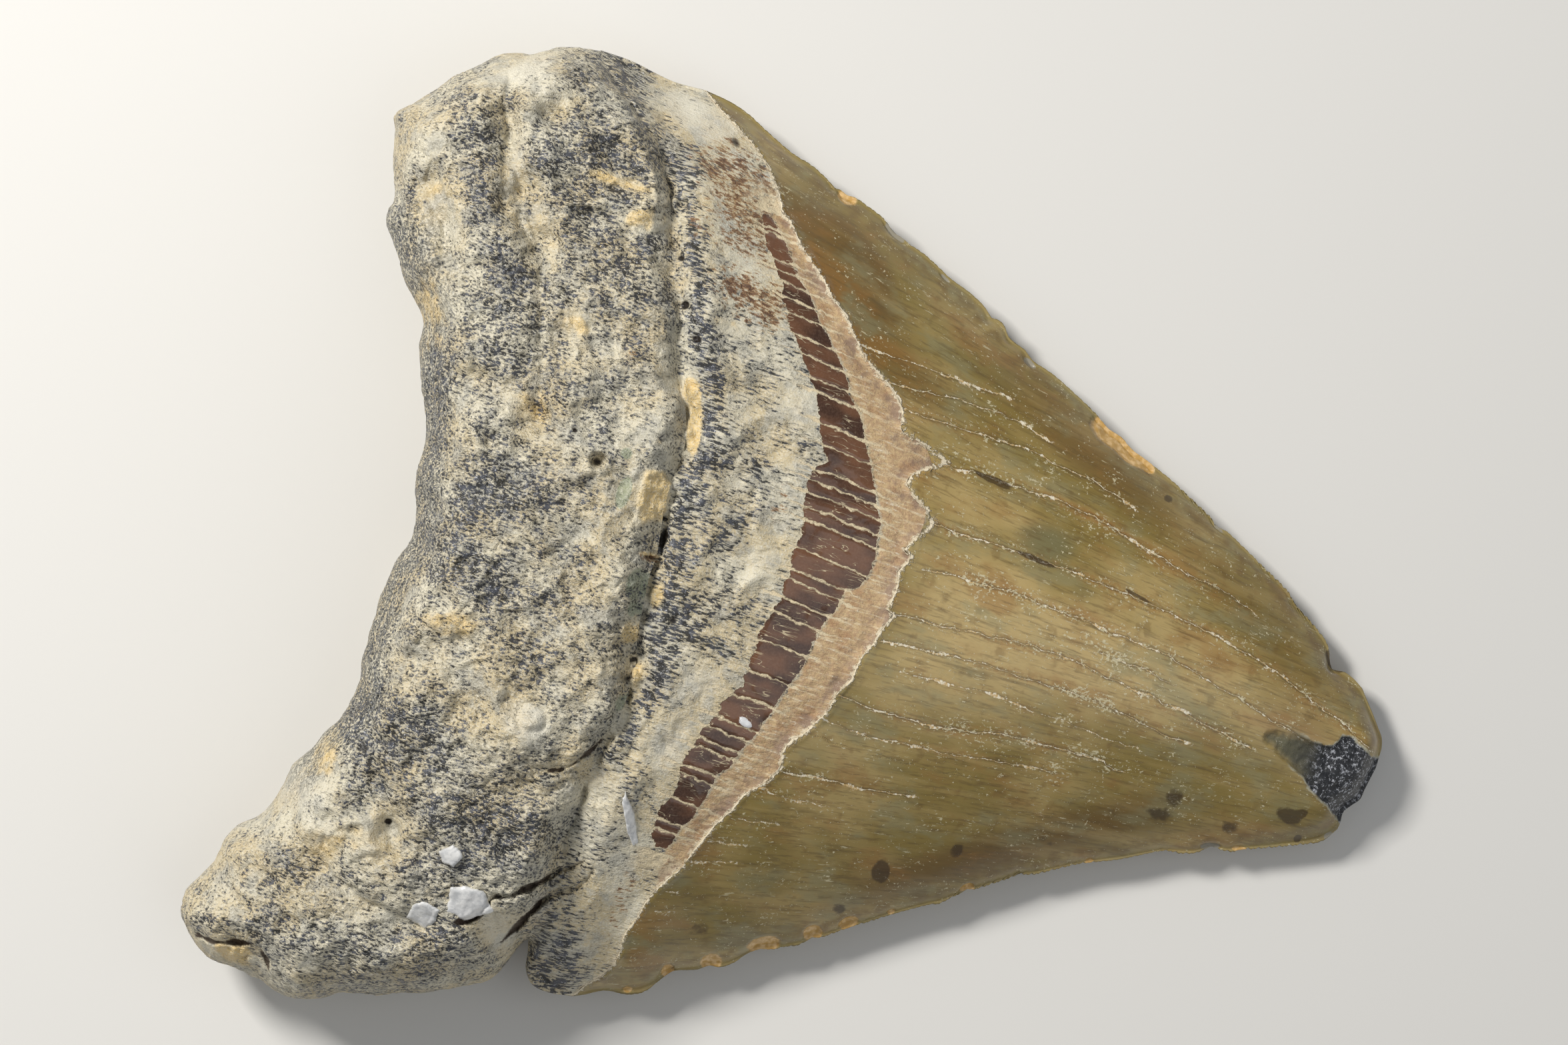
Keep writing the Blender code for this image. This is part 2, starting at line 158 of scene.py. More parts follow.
def smoothCurve(points, steps=8):
    # Catmull-Rom cubic between each pair of points, cut into equal steps
    knots = np.array(points, dtype=float)
    before = np.vstack([2 * knots[0] - knots[1], knots[:-2]])
    after = np.vstack([knots[2:], 2 * knots[-1] - knots[-2]])
    share = (np.arange(steps) / steps)[None, :, None]
    start, end = knots[:-1, None, :], knots[1:, None, :]
    bendIn = (end - before[:, None, :]) / 2
    bendOut = (after[:, None, :] - start) / 2
    cubic = 2 * start - 2 * end + bendIn + bendOut
    square = -3 * start + 3 * end - 2 * bendIn - bendOut
    curve = start + share * (bendIn + share * (square + share * cubic))
    return np.vstack([curve.reshape(-1, 2), knots[-1:]])


def pointsAlong(points, shares):
    # the points at given shares of the smooth curve's length
    curve = smoothCurve(points)
    lengths = np.concatenate([[0], np.cumsum(np.linalg.norm(np.diff(curve, axis=0), axis=1))])
    wanted = np.asarray(shares) * lengths[-1]
    return np.column_stack([np.interp(wanted, lengths, curve[:, axis]) for axis in (0, 1)])


def distanceTo(x, y, line):
    # least distance in plan from each point to the straight pieces of a line
    nearest = np.full(x.shape, 1e9)
    for (ax, ay), (bx, by) in zip(line[:-1], line[1:]):
        dx, dy = bx - ax, by - ay
        share = np.clip(((x - ax) * dx + (y - ay) * dy) / (dx * dx + dy * dy), 0, 1)
        nearest = np.minimum(nearest, (x - ax - share * dx) ** 2 + (y - ay - share * dy) ** 2)
    return np.sqrt(nearest)


def lineX(y, line):
    # X of a line that crosses the tooth, at each Y, from the line's points in order of Y
    curve = np.array(line, dtype=float)
    curve = curve[np.argsort(curve[:, 1])]
    return np.interp(y, curve[:, 1], curve[:, 0])


def runningMean(side):
    # each point becomes the mean of its neighbours; turned copies past the ends keep the end points
    reach = len(side) // 16
    before, after = 2 * side[0] - side[reach:0:-1], 2 * side[-1] - side[-2:-reach - 2:-1]
    padded = np.concatenate([before, side, after])
    weights = np.full(2 * reach + 1, 1 / (2 * reach + 1))
    return np.column_stack([np.convolve(padded[:, axis], weights, "valid") for axis in (0, 1)])


def calmPatch(sides, passes):
    # Coons patch between smoothed sides; what the smoothing took off is put back on the sides and spreads
    # inwards as heat would, so that a chip or spike of the outline doesn't fold the rows behind it
    calm = [runningMean(side) for side in sides]
    shift = np.zeros((len(sides[2]), len(sides[0]), 2))
    shift[0], shift[-1], shift[:, 0], shift[:, -1] = [side - mean for side, mean in zip(sides, calm)]
    for _ in range(passes):
        shift[1:-1, 1:-1] = (shift[2:, 1:-1] + shift[:-2, 1:-1] + shift[1:-1, 2:] + shift[1:-1, :-2]) / 4
    return patch(*calm) + shift


def patch(start, end, left, right):
    # Coons patch: the two ruled surfaces between opposite sides, less the one through the corners
    across = np.linspace(0, 1, len(start))[None, :, None]
    along = np.linspace(0, 1, len(left))[:, None, None]
    ruled = (1 - along) * start[None] + along * end[None]
    sided = (1 - across) * left[:, None] + across * right[:, None]
    corners = (1 - along) * ((1 - across) * start[0] + across * start[-1])
    corners = corners + along * ((1 - across) * end[0] + across * end[-1])
    return ruled + sided - corners


def latticeNoise(x, y, seed):
    # random values on a lattice, blended by the fifth-degree step, -1 to 1
    table = np.random.RandomState(seed).uniform(-1, 1, (256, 256))
    column, row = np.floor(x).astype(int), np.floor(y).astype(int)
    u, v = x - column, y - row
    u = u * u * u * (u * (6 * u - 15) + 10)
    v = v * v * v * (v * (6 * v - 15) + 10)
    low = table[column & 255, row & 255] * (1 - u) + table[(column + 1) & 255, row & 255] * u
    high = table[column & 255, (row + 1) & 255] * (1 - u) + table[(column + 1) & 255, (row + 1) & 255] * u
    return low * (1 - v) + high * v


def layeredNoise(x, y, size, seed, layers=3, keep=0.55):
    # lattice noises added up, each of half the size and a smaller share, turned a little each time
    total, weight, reach = 0, 1, 0
    for layer in range(layers):
        turn = 0.6 + 1.1 * layer
        u = (x * math.cos(turn) + y * math.sin(turn)) / size
        v = (y * math.cos(turn) - x * math.sin(turn)) / size
        total = total + weight * latticeNoise(u + 17.3 * layer, v - 9.1 * layer, seed + layer)
        reach += weight
        weight *= keep
        size /= 2
    return total / reach * 1.6


def softOvals(x, y, ovals):
    # sum of soft ovals: middle x, y, half length, half width, turn in degrees, weight
    total = np.zeros_like(x)
    for middleX, middleY, halfLength, halfWidth, turn, weight in ovals:
        c, s = math.cos(math.radians(turn)), math.sin(math.radians(turn))
        u = ((x - middleX) * c + (y - middleY) * s) / halfLength
        v = ((y - middleY) * c - (x - middleX) * s) / halfWidth
        total += weight * np.exp(-(u * u + v * v) ** 1.4)
    return total


# The form of the whole tooth

outlineOrder = (
    ("basal", 1), ("lowerLobe", 1), ("lowerNeck", 1), ("lowerEdge", 1), ("tip", -1), ("upperEdge", -1),
    ("upperNeck", -1), ("upperLobe", -1),
)
outlineLoop = np.vstack([smoothCurve(outlineLines[name][::step], 2)[:-1] for name, step in outlineOrder])
outlineLoop = np.vstack([outlineLoop, outlineLoop[:1]])
planCentre = (outlineLoop.min(axis=0) + outlineLoop.max(axis=0)) / 2
crownUpper = smoothCurve([(-31, 51.3)] + outlineLines["upperEdge"])
crownLower = smoothCurve([(-21.2, -39.3), (-18, -44)] + outlineLines["lowerEdge"][1:])


def calmed(line, spacing=0.5, reach=9):
    # running mean of a side's Y over even steps of X, so that nicks leave no creases across the crown
    line = line[np.argsort(line[:, 0])]
    x = np.arange(line[0, 0], line[-1, 0], spacing)
    weights = np.hanning(2 * reach + 1)
    padded = np.pad(np.interp(x, line[:, 0], line[:, 1]), reach, mode="reflect", reflect_type="odd")
    return np.column_stack([x, np.convolve(padded, weights / weights.sum(), mode="valid")])


crownUpper = calmed(crownUpper)
crownLower = calmed(crownLower)


def crownInward(x, y):
    # share of the way in from the nearer cutting edge, 0 at the edge and 1 at mid-width
    top = np.interp(x, crownUpper[:, 0], crownUpper[:, 1])
    bottom = np.interp(x, crownLower[:, 0], crownLower[:, 1])
    return np.clip(1 - np.abs(2 * y - top - bottom) / (top - bottom), 0, 1)


def bodyHeights(x, y, inside):
    # heights of the two faces: a domed root blended into a lens-shaped crown, with round rims,
    # over a nearly flat outer face that is clipped to small rest pads at zero
    form = bodyForm
    pastLedge = x - lineX(y, ledgeLine)
    pastEnamel = x - lineX(y, enamelLine)
    inward = crownInward(x, y)
    along = np.clip((x + 20) / 79, 0, 1)
    edge = form["edgeHeight"] + (form["tipEdgeHeight"] - form["edgeHeight"]) * along
    rim = form["rootRim"] + (edge - form["rootRim"]) * smoothStep(pastLedge, -3, 9)

    sideways = np.abs(y - 1) / 46
    root = form["rootTop"] + (form["lobeTop"] - form["rootTop"]) * sideways ** 1.6
    root = root - form["lobeFall"] * sideways ** 2 * smoothStep(pastLedge, -16, 0)
    root = root - form["basalFall"] * smoothStep(pastLedge, -18, -27)
    bossX, bossY, bossRadius, bossHeight = form["boss"]
    root = root + bossHeight * np.exp(-((x - bossX) ** 2 + (y - bossY) ** 2) / bossRadius ** 2)
    root = root + form["lumpHeight"] * np.sin(0.52 * x + 1.4 * np.sin(0.21 * y)) * np.sin(0.43 * y + 0.8)
    for valley in form["valleys"]:
        root = root - form["valleyDepth"] * bell(distanceTo(x, y, valley), form["valleyHalf"])
    rootRound = (1 - (1 - np.clip(inside / form["rootRounding"], 0, 1)) ** 2.2) ** 0.75
    root = rim + (root - rim) * rootRound

    middle = form["crownBase"] + (form["crownTip"] - form["crownBase"]) * along ** 1.15
    lens = 1 - (1 - inward) ** (3.4 - 1.5 * smoothStep(x, -30, 12))
    lens = lens * (1 - bell(inside, form["edgeRounding"]))
    tipEdge = smoothStep(x, 45, 55) * (1 - np.clip(inside / form["tipRounding"], 0, 1)) ** 2
    crown = rim + (middle - rim) * lens * (1 - tipEdge)
    top = root + (crown - root) * smoothStep(pastLedge, -2.5, 3.5)
    central = smoothStep(inside, 3, 12)
    top = top - form["grooveDepth"] * central * bell(pastLedge - 0.6, form["grooveHalf"])
    top = top + form["ridgeHeight"] * central * bell(pastLedge - 4.4, form["grooveHalf"])
    top = top + form["enamelStep"] * smoothStep(inside, 0.3, 4) * smoothStep(pastEnamel, -1.2, 0.6)

    underRoot = (1 - np.clip(inside / form["underRounding"], 0, 1)) ** 2.2
    underCrown = np.maximum((1 - inward) ** 2.6, tipEdge)
    under = rim * (underRoot + (underCrown - underRoot) * smoothStep(pastLedge, -3, 9))
    hollowX, halfLength, halfWidth = form["hollowPlace"]
    hollow = np.exp(-((x - hollowX) / halfLength) ** 2 - (y / halfWidth) ** 2)
    under = under + form["underHollow"] * hollow * smoothStep(inside, 0, 8)
    under = under + form["tipRise"] * smoothStep(x, 36, 60)
    bottom = np.maximum(under - form["padClip"], 0)
    return np.maximum(top, rim + 0.05), np.minimum(bottom, rim - 0.05), rim


def surfaceNormals(points):
    # cross product of the grid's two directions, made unit length
    normals = np.cross(np.gradient(points, axis=1), np.gradient(points, axis=0))
    return normals / np.maximum(np.linalg.norm(normals, axis=2, keepdims=True), 1e-9)


# Meshes


def cellRing(index, i, j, step, shared):
    # corners of one coarse cell of the lower sheet, with the fine points of a side that lies on the outline
    top, low = index
    rows, columns = low.shape[0] - 1, low.shape[1] - 1
    ring = [low[i, j]]
    if j == 0:
        ring += list(top[i * step + 1:(i + 1) * step, 0])
    ring.append(low[i + 1, j])
    if shared[1] and i + 1 == rows:
        ring += list(top[-1, j * step + 1:(j + 1) * step])
    ring.append(low[i + 1, j + 1])
    if j + 1 == columns:
        ring += list(top[i * step + 1:(i + 1) * step, -1][::-1])
    ring.append(low[i, j + 1])
    if shared[0] and i == 0:
        ring += list(top[0, j * step + 1:(j + 1) * step][::-1])
    return [int(corner) for corner in ring]


def wallRing(index, j, step, last):
    # one panel of the hidden wall where a piece meets its neighbour
    top, low = index
    if last:
        ring = [low[-1, j + 1], low[-1, j]] + list(top[-1, j * step:(j + 1) * step + 1])
    else:
        ring = [low[0, j], low[0, j + 1]] + list(top[0, j * step:(j + 1) * step + 1][::-1])
    return [int(corner) for corner in dict.fromkeys(ring)]


def placed(name, data):
    # an object of this name in the scene
    thing = bpy.data.objects.new(name, data)
    bpy.context.scene.collection.objects.link(thing)
    return thing


# shares of the bake map: the upper sheet takes most of it, the lower sheet a strip and the walls a line
bakeMap = {"upper": 0.78, "lower": (0.81, 0.18), "wall": (0.787, 0.795), "margins": (0.01, 0.005)}


def makePiece(name, upper, lower, step, shared, fields, materials, skirt=0):
    # a closed piece: a fine upper sheet, a coarse lower sheet that shares the outline's points, and
    # hidden walls where the piece meets its neighbours
    rows, columns = upper.shape[0] - 1, upper.shape[1] - 1
    top = np.arange((rows + 1) * (columns + 1)).reshape(rows + 1, columns + 1)
    free = np.ones(lower.shape[:2], dtype=bool)
    free[:, [0, -1]] = False
    if shared[0]:
        free[0] = False
    if shared[1]:
        free[-1] = False
    low = np.where(free, top.size + np.cumsum(free).reshape(free.shape) - 1, top[::step, ::step])
    places = np.vstack([upper.reshape(-1, 3), lower[free]])
    places[:, :2] -= planCentre
    places *= mm
    places = np.clip(places, np.array(cadBox[0]) + 1e-5, np.array(cadBox[1]) - 1e-5)

    quads = np.stack([top[:-1, :-1], top[:-1, 1:], top[1:, 1:], top[1:, :-1]], axis=2).reshape(-1, 4)
    faces = quads.tolist()
    index = (top, low)
    lowRows, lowColumns = low.shape[0] - 1, low.shape[1] - 1
    faces += [cellRing(index, i, j, step, shared) for i in range(lowRows) for j in range(lowColumns)]
    kinds = [0] * len(quads) + [1] * (lowRows * lowColumns)
    joined = [end for end in (0, 1) if not shared[end]]
    walls = [wallRing(index, j, step, bool(end)) for end in joined for j in range(lowColumns)]
    faces += walls
    kinds += [2] * len(walls)

    mesh = bpy.data.meshes.new(name)
    mesh.from_pydata(places.tolist(), [], faces)
    kinds = np.array(kinds)
    mesh.polygons.foreach_set("use_smooth", kinds < 2)
    for material in materials:
        mesh.materials.append(material)
    mesh.polygons.foreach_set("material_index", np.where(kinds == 1, len(materials) - 1, 0).astype(np.int32))

    across = np.tile(np.linspace(0, 1, columns + 1), (rows + 1, 1))
    along = np.tile(np.linspace(0, 1, rows + 1)[:, None], (1, columns + 1))
    share = np.column_stack([
        np.concatenate([across.ravel(), across[::step, ::step][free]]),
        np.concatenate([along.ravel(), along[::step, ::step][free]]),
    ])
    isLow = np.arange(len(share)) >= top.size
    totals = np.zeros(len(mesh.polygons), dtype=np.int32)
    mesh.polygons.foreach_get("loop_total", totals)
    corner = np.zeros(len(mesh.loops), dtype=np.int32)
    mesh.loops.foreach_get("vertex_index", corner)
    kind = np.repeat(kinds, totals)
    lowStart, lowShare = bakeMap["lower"]
    wallTop, wallFoot = bakeMap["wall"]
    side, foot = bakeMap["margins"]
    height = np.where(kind == 0, share[corner, 1] * bakeMap["upper"], lowStart + share[corner, 1] * lowShare)
    height = np.where(kind == 2, np.where(isLow[corner], wallFoot, wallTop), height)
    flat = np.column_stack([side + (1 - 2 * side) * share[corner, 0], foot + height])
    layer = mesh.uv_layers.new(name="OFBake")
    layer.data.foreach_set("uv", flat.astype(np.float32).ravel())

    for field, (above, below) in fields.items():
        values = np.concatenate([above.ravel(), below[free]]).astype(np.float32)
        mesh.attributes.new(field, "FLOAT", "POINT").data.foreach_set("value", values)
    mesh.validate()
    mesh.update()
    if skirt:
        # the shading breaks where the skirt begins, so that the joint shows no dark line
        ends = np.zeros(2 * len(mesh.edges), dtype=np.int32)
        mesh.edges.foreach_get("vertices", ends)
        sharp = np.isin(ends.reshape(-1, 2), top[rows - skirt]).all(axis=1)
        mesh.attributes.new("sharp_edge", "BOOLEAN", "EDGE").data.foreach_set("value", sharp)
    print(name, "has", len(places), "points and", len(faces), "faces")
    return placed(name, mesh)


# Shaders


class Wire:
    # one output of a node; sums and products of wires add Math nodes
    def __init__(self, sheet, socket):
        self.sheet = sheet
        self.socket = socket

    def maths(self, operation, first, second=0, third=0):
        return self.sheet.node("ShaderNodeMath", {"operation": operation}, {0: first, 1: second, 2: third})

    def __add__(self, other):
        return self.maths("ADD", self, other)

    __radd__ = __add__

    def __sub__(self, other):
        return self.maths("SUBTRACT", self, other)

    def __rsub__(self, other):
        return self.maths("SUBTRACT", other, self)

    def __mul__(self, other):
        return self.maths("MULTIPLY", self, other)

    __rmul__ = __mul__

    def __truediv__(self, other):
        return self.maths("DIVIDE", self, other)

    def __rtruediv__(self, other):
        return self.maths("DIVIDE", other, self)

    def __abs__(self):
        return self.maths("ABSOLUTE", self)

    def power(self, exponent):
        return self.maths("POWER", self, exponent)

    def rounded(self):
        return self.maths("ROUND", self)

    def least(self, other):
        return self.maths("MINIMUM", self, other)

    def most(self, other):
        return self.maths("MAXIMUM", self, other)

    def step(self, low, high):
        # smooth step from 0 at low to 1 at high
        settings = {"interpolation_type": "SMOOTHSTEP"}
        sockets = {"Value": self, "From Min": low, "From Max": high}
        return self.sheet.node("ShaderNodeMapRange", settings, sockets)

    def painted(self, share, colour):
        # this colour under a share of another
        return self.sheet.mix(share, self, colour)

    def noise(self, size, detail=2, rough=0.5, bend=0):
        # smooth noise at this place with features about one size across, 0 to 1
        sockets = {"Vector": self, "Scale": 1 / size, "Detail": detail}
        sockets.update({"Roughness": rough, "Distortion": bend})
        return self.sheet.node("ShaderNodeTexNoise", {"noise_dimensions": "3D"}, sockets)

    def stretched(self, x, y, z):
        # this place with each axis multiplied
        return self.sheet.node("ShaderNodeVectorMath", {"operation": "MULTIPLY"}, {0: self, 1: (x, y, z)})

    def part(self, axis):
        return self.sheet.node("ShaderNodeSeparateXYZ", {}, {0: self}, axis)


class Sheet:
    # the node tree of one material
    def __init__(self, name):
        self.material = bpy.data.materials.new(name)
        self.material.use_nodes = True
        self.tree = self.material.node_tree
        self.surface = self.tree.nodes["Principled BSDF"]
        self.place = self.node("ShaderNodeTexCoord", {}, {}, "Object").stretched(1000, 1000, 1000)

    def node(self, kind, settings, sockets, output=0):
        # the one way to any node: its type, its settings, then values or wires of its sockets
        made = self.tree.nodes.new(kind)
        for key, value in settings.items():
            setattr(made, key, value)
        for key, value in sockets.items():
            if isinstance(value, Wire):
                self.tree.links.new(value.socket, made.inputs[key])
            else:
                made.inputs[key].default_value = value
        return Wire(self, made.outputs[output])

    def attribute(self, name):
        return self.node("ShaderNodeAttribute", {"attribute_name": name}, {}, "Fac")

    def attributes(self, *names):
        return [self.attribute(name) for name in names]

    def mix(self, share, first, second):
        # a colour mix; first and second are screen colours or wires
        ends = [tone(*colour) if isinstance(colour, tuple) else colour for colour in (first, second)]
        settings = {"data_type": "RGBA", "clamp_factor": True}
        return self.node("ShaderNodeMix", settings, {0: share, 6: ends[0], 7: ends[1]}, 2)

    def bump(self, height, depth):
        # height is in shares of depth, which is in millimetres
        sockets = {"Strength": 1, "Distance": depth * mm, "Height": height}
        return self.node("ShaderNodeBump", {}, sockets, "Normal")

    def feed(self, **inputs):
        for key, value in inputs.items():
            socket = self.surface.inputs[key.replace("_", " ")]
            if isinstance(value, Wire):
                self.tree.links.new(value.socket, socket)
            else:
                socket.default_value = value


def tone(red, green, blue):
    # a screen colour, 0 to 255, as linear light
    shares = np.array([red, green, blue]) / 255
    linear = np.where(shares <= 0.04045, shares / 12.92, ((shares + 0.055) / 1.055) ** 2.4)
    return (*linear.tolist(), 1)


# Root and neck: where the dark crust, the stains and the sediment lie, and the holes whose shade is painted

boneZones = {
    "crust": [
        (-40.5, 50, 4.5, 2.2, 5, 0.9), (-37.5, 42.5, 6.5, 4.5, 0, 0.7), (-44, 40, 2, 3.5, 0, 0.6),
        (-34.5, 35.5, 6, 4.5, 0, 0.6), (-48.8, 36.5, 2, 6, 15, 1), (-53.5, 42, 2.5, 2, 0, 0.3),
        (-43, 26, 2.6, 5, 20, 0.7), (-46.8, 13.5, 1.6, 5, 12, 1), (-31, 29, 3.5, 4, 0, 0.3),
        (-35.5, 5.2, 5.5, 3.2, 0, 1.2), (-40.2, 1.5, 2.2, 3, 0, 0.8), (-38.5, -4, 5, 2.6, 0, 1.1),
        (-32, -7, 5, 3, -10, 0.4), (-30.5, -12.5, 5, 2.6, 0, 0.5), (-40, -22.5, 6, 4.2, 0, 1),
        (-30, -29, 7, 4, -15, 0.8), (-34, -35.5, 4.5, 3, 0, 0.6), (-38.5, -46.4, 8, 2.8, -5, 0.35),
        (-31, -43, 3.5, 3, 0, 0.7), (-47.5, -39.5, 3, 2.5, 0, 0.5), (-24, -29, 4, 3, 20, 0.7),
        (-26, -23, 4, 2.5, 0, 0.4), (-53, -47, 2, 1, 0, 0.4), (-16, 25, 4, 2.6, -10, 0.1),
        (-14, 14.6, 4.5, 1.3, 0, 0.6), (-13.2, 8.6, 2.4, 2.8, 0, 0.7), (-12, -0.5, 3, 1.5, 0, 0.4),
        (-10.5, -4.6, 2.8, 1.5, -10, 0.6), (-16, -4, 2, 3, 0, 1), (-17.7, -41, 2.6, 3, 0, 0.9),
        (-9.5, 18.8, 3, 1, 0, 0.5), (-22, 33, 2, 4, 0, 0.3),
    ],
    "bare": [
        (-48, 48.2, 4.5, 1.8, 35, 1.3), (-44.6, 46.4, 2.6, 2.4, 0, 1), (-45.6, 38, 1.1, 5.5, 12, 1.1),
        (-51.6, 30.5, 2.3, 4.5, 25, 1.1), (-50.5, 22, 3, 6, 25, 0.1), (-56, 37, 2.5, 4, 0, 0.6),
        (-41, 33, 0.9, 5, 28, 0.9), (-34.5, 39.6, 3.4, 0.6, 0, 1), (-31.2, 36.3, 2.8, 1.1, 5, 1),
        (-35, 24, 1.8, 1.8, 0, 0.7), (-25.5, 11, 2.6, 11, 0, 0.5), (-24.5, -8, 2.6, 9, 0, 0.5),
        (-38.5, -9.5, 5, 3.2, 0, 0.1), (-37, -14.5, 6, 2.6, 0, 0.4), (-30, -17.5, 4, 3, 0, 0.6),
        (-48.5, -30, 4, 6, 10, 1.3), (-52.5, -41, 4, 5, 0, 0.9), (-39.5, -34, 2.4, 4, 20, 1.1),
        (-44.5, -36, 3, 4, 0, 0.5), (-25, -39.3, 3.5, 2, -40, 1.5), (-38.5, -41.3, 3, 1.8, 0, 0.8),
        (-19, -23, 2.5, 5, 0, 0.7), (-28, 48.3, 5.5, 2.3, -12, 1.6), (-24.5, 41.2, 2.6, 1.9, 0, 1.1),
        (-18, 35, 4, 1.3, -10, 1.2), (-9.8, 22.6, 2.2, 2.5, 0, 1), (-10.2, 17, 2.2, 1.6, 0, 0.9),
        (-9.3, 6, 2.6, 4.5, 0, 1.1), (-11, -8.5, 3, 2.5, 0, 0.9), (-13.3, -15, 3.6, 5, 0, 1.3),
        (-14.5, -34, 2.5, 6, 0, 0.6), (-49.3, 22.5, 8, 1.8, -64, 0.2), (-27.8, -17.6, 2.3, 2, 0, 1.6),
        (-21.3, 13.2, 0.9, 0.9, 0, 1.3), (-24.8, 31, 0.8, 2.4, 15, 1),
    ],
    "ochre": [
        (-50.5, 21.5, 2.2, 4.5, 25, 0.5), (-21.4, 20.6, 1, 1.7, 20, 1.3), (-19.8, 16.8, 0.75, 3, 12, 1.3),
        (-21.8, 8.8, 2, 2.8, 0, 1.3), (-20.5, 2.9, 1.4, 0.3, 5, 0.9), (-18.6, -1, 0.9, 1.4, 0, 1.1),
        (-20.2, -5.4, 1.1, 1.9, 0, 0.8), (-18.2, -9.6, 0.8, 2.1, 15, 0.9),
        (-18.6, -13.8, 0.8, 1.9, 12, 0.9), (-34.5, 39.6, 3, 0.6, 0, 0.9), (-35, 24, 1.8, 1.5, 0, 0.8),
        (-38.5, -10, 3, 1.6, 0, 0.5), (-39.5, -33, 2.2, 3, 0, 0.55), (-51.5, -49.7, 3, 0.9, 0, 1),
        (-53.5, 31, 1.5, 3, 0, 0.5), (-48, -28, 3, 4, 0, 0.5), (-44.5, -36, 3, 3, 0, 0.4),
        (-33.5, -13.5, 3, 2, 0, 0.5), (-31.2, 36.3, 2.6, 1, 5, 0.7), (-13, 19.8, 2.6, 1.2, -10, 0.5),
        (-19.5, 28.3, 2.2, 0.8, -5, 0.6), (-37, 14, 2.6, 2, 0, 0.5),
    ],
    "rust": [
        (-22.4, 43, 5.6, 3.2, -25, 0.9), (-20.2, 38, 4.6, 2.4, -10, 0.8), (-16.8, 31.6, 4.2, 2.2, -8, 1),
        (-13, -33, 0.9, 4, 0, 0.45), (-20.5, 33, 2.6, 1.4, -8, 0.5), (-20.6, 2.6, 1.5, 0.4, 5, 0.8),
        (-8.9, 12, 0.8, 2, 0, 0.4), (-21.4, 48, 1.8, 0.8, -30, 0.6), (-26, 37.5, 0.8, 1.5, 0, 0.4),
        (-28.5, 22, 0.8, 1.5, 0, 0.4),
    ],
    "green": [
        (-25.9, 12.4, 0.7, 0.7, 0, 0.9), (-25, 8.4, 0.8, 1.8, 0, 1.1), (-21, -0.4, 1.1, 1.8, 0, 1),
        (-20.6, -3.2, 0.6, 1, 0, 0.7), (-19.1, -13, 0.6, 1.2, 0, 0.7),
    ],
    # holes, pits and small hollows, sunk in relief and darkened in colour as painted shade; the oval at
    # -24.2, 47 is a real dark patch
    "shade": [
        (-24.4, 29.1, 0.45, 0.5, 0, 1.4), (-22.2, 26, 0.5, 0.35, 0, 1.2), (-19.7, 5.2, 0.5, 1, 0, 1),
        (-19, -8.3, 0.5, 0.4, 0, 1.1), (-20.4, 7, 0.5, 0.25, 0, 1.2), (-16.3, -3, 0.7, 0.7, 0, 0.8),
        (-26.2, 33.7, 0.4, 0.3, 0, 1.2), (-24.2, 47, 0.9, 0.5, -35, 0.8), (-19.7, -10.2, 0.6, 1, -20, 0.6),
        (-28.7, 10.7, 0.62, 0.5, 0, 0.9), (-31.8, 13.2, 0.3, 0.24, 0, 1.4),
        (-39, -31.9, 0.42, 0.3, 20, 1.4),
    ],
}
ridgeLine = [
    (-28, 42), (-26.6, 39.3), (-25.6, 36.2), (-24.6, 33), (-24, 30.5), (-23, 28.3), (-21.2, 25.8),
    (-19.6, 22.5), (-18.6, 19), (-17.9, 15.5), (-18.5, 12.5), (-18.9, 9.5), (-18.6, 6), (-17.7, 2.5),
    (-17.2, -0.5), (-16.6, -4), (-16.2, -7.5), (-15.7, -11), (-16.5, -13.8), (-17.4, -16.5),
    (-18.2, -18.5),
]
crevices = {
    "routes": [
        [(-29, -39.9), (-27.5, -39), (-26.6, -37.6), (-26, -36.4), (-24.6, -35.9), (-23.2, -34.6),
         (-21.6, -33.3), (-20.4, -31.9), (-18.8, -30.7), (-17.3, -29.2)],
        [(-23.9, -40.6), (-22.9, -38.6), (-22.2, -37.3), (-21.2, -35.6), (-20, -34), (-18.1, -33.1),
         (-17.2, -31.8), (-16.5, -30)],
        [(-54.8, -48.9), (-53.2, -49.2), (-51.6, -48.8), (-49.5, -48.3), (-48.5, -48)],
        [(-48.2, -48.3), (-47, -49.6), (-46, -51.2)],
        [(-21.2, -39.3), (-20.3, -38.1), (-19.9, -36.6)],
        [(-24.4, -22), (-22.6, -21.1), (-21, -19.1), (-20.2, -17.8), (-19.4, -16.4)],
        [(-22.2, 2), (-21.2, 2.6), (-20.2, 2.5), (-19, 2)],
        [(-21.6, -15.7), (-20.4, -15.3), (-19.5, -14.5)],
        [(-20.4, -12), (-18.8, -11.1)],
    ],
    "depth": [1.5, 1.8, 1, 0.6, 0.6, 0.7, 0.7, 0.45, 0.45],
    "half": [0.26, 0.32, 0.24, 0.18, 0.18, 0.2, 0.17, 0.15, 0.15],
}
# Weights of what thickens or thins the crust.
crustMix = {
    "bare": 0.9, "ridge": 1, "basal": 0.1, "grey": 0.3, "ochre": 1.2, "pastLedge": 0.35,
    "coarse": 0.36, "medium": 0.3, "base": 0.16,
}
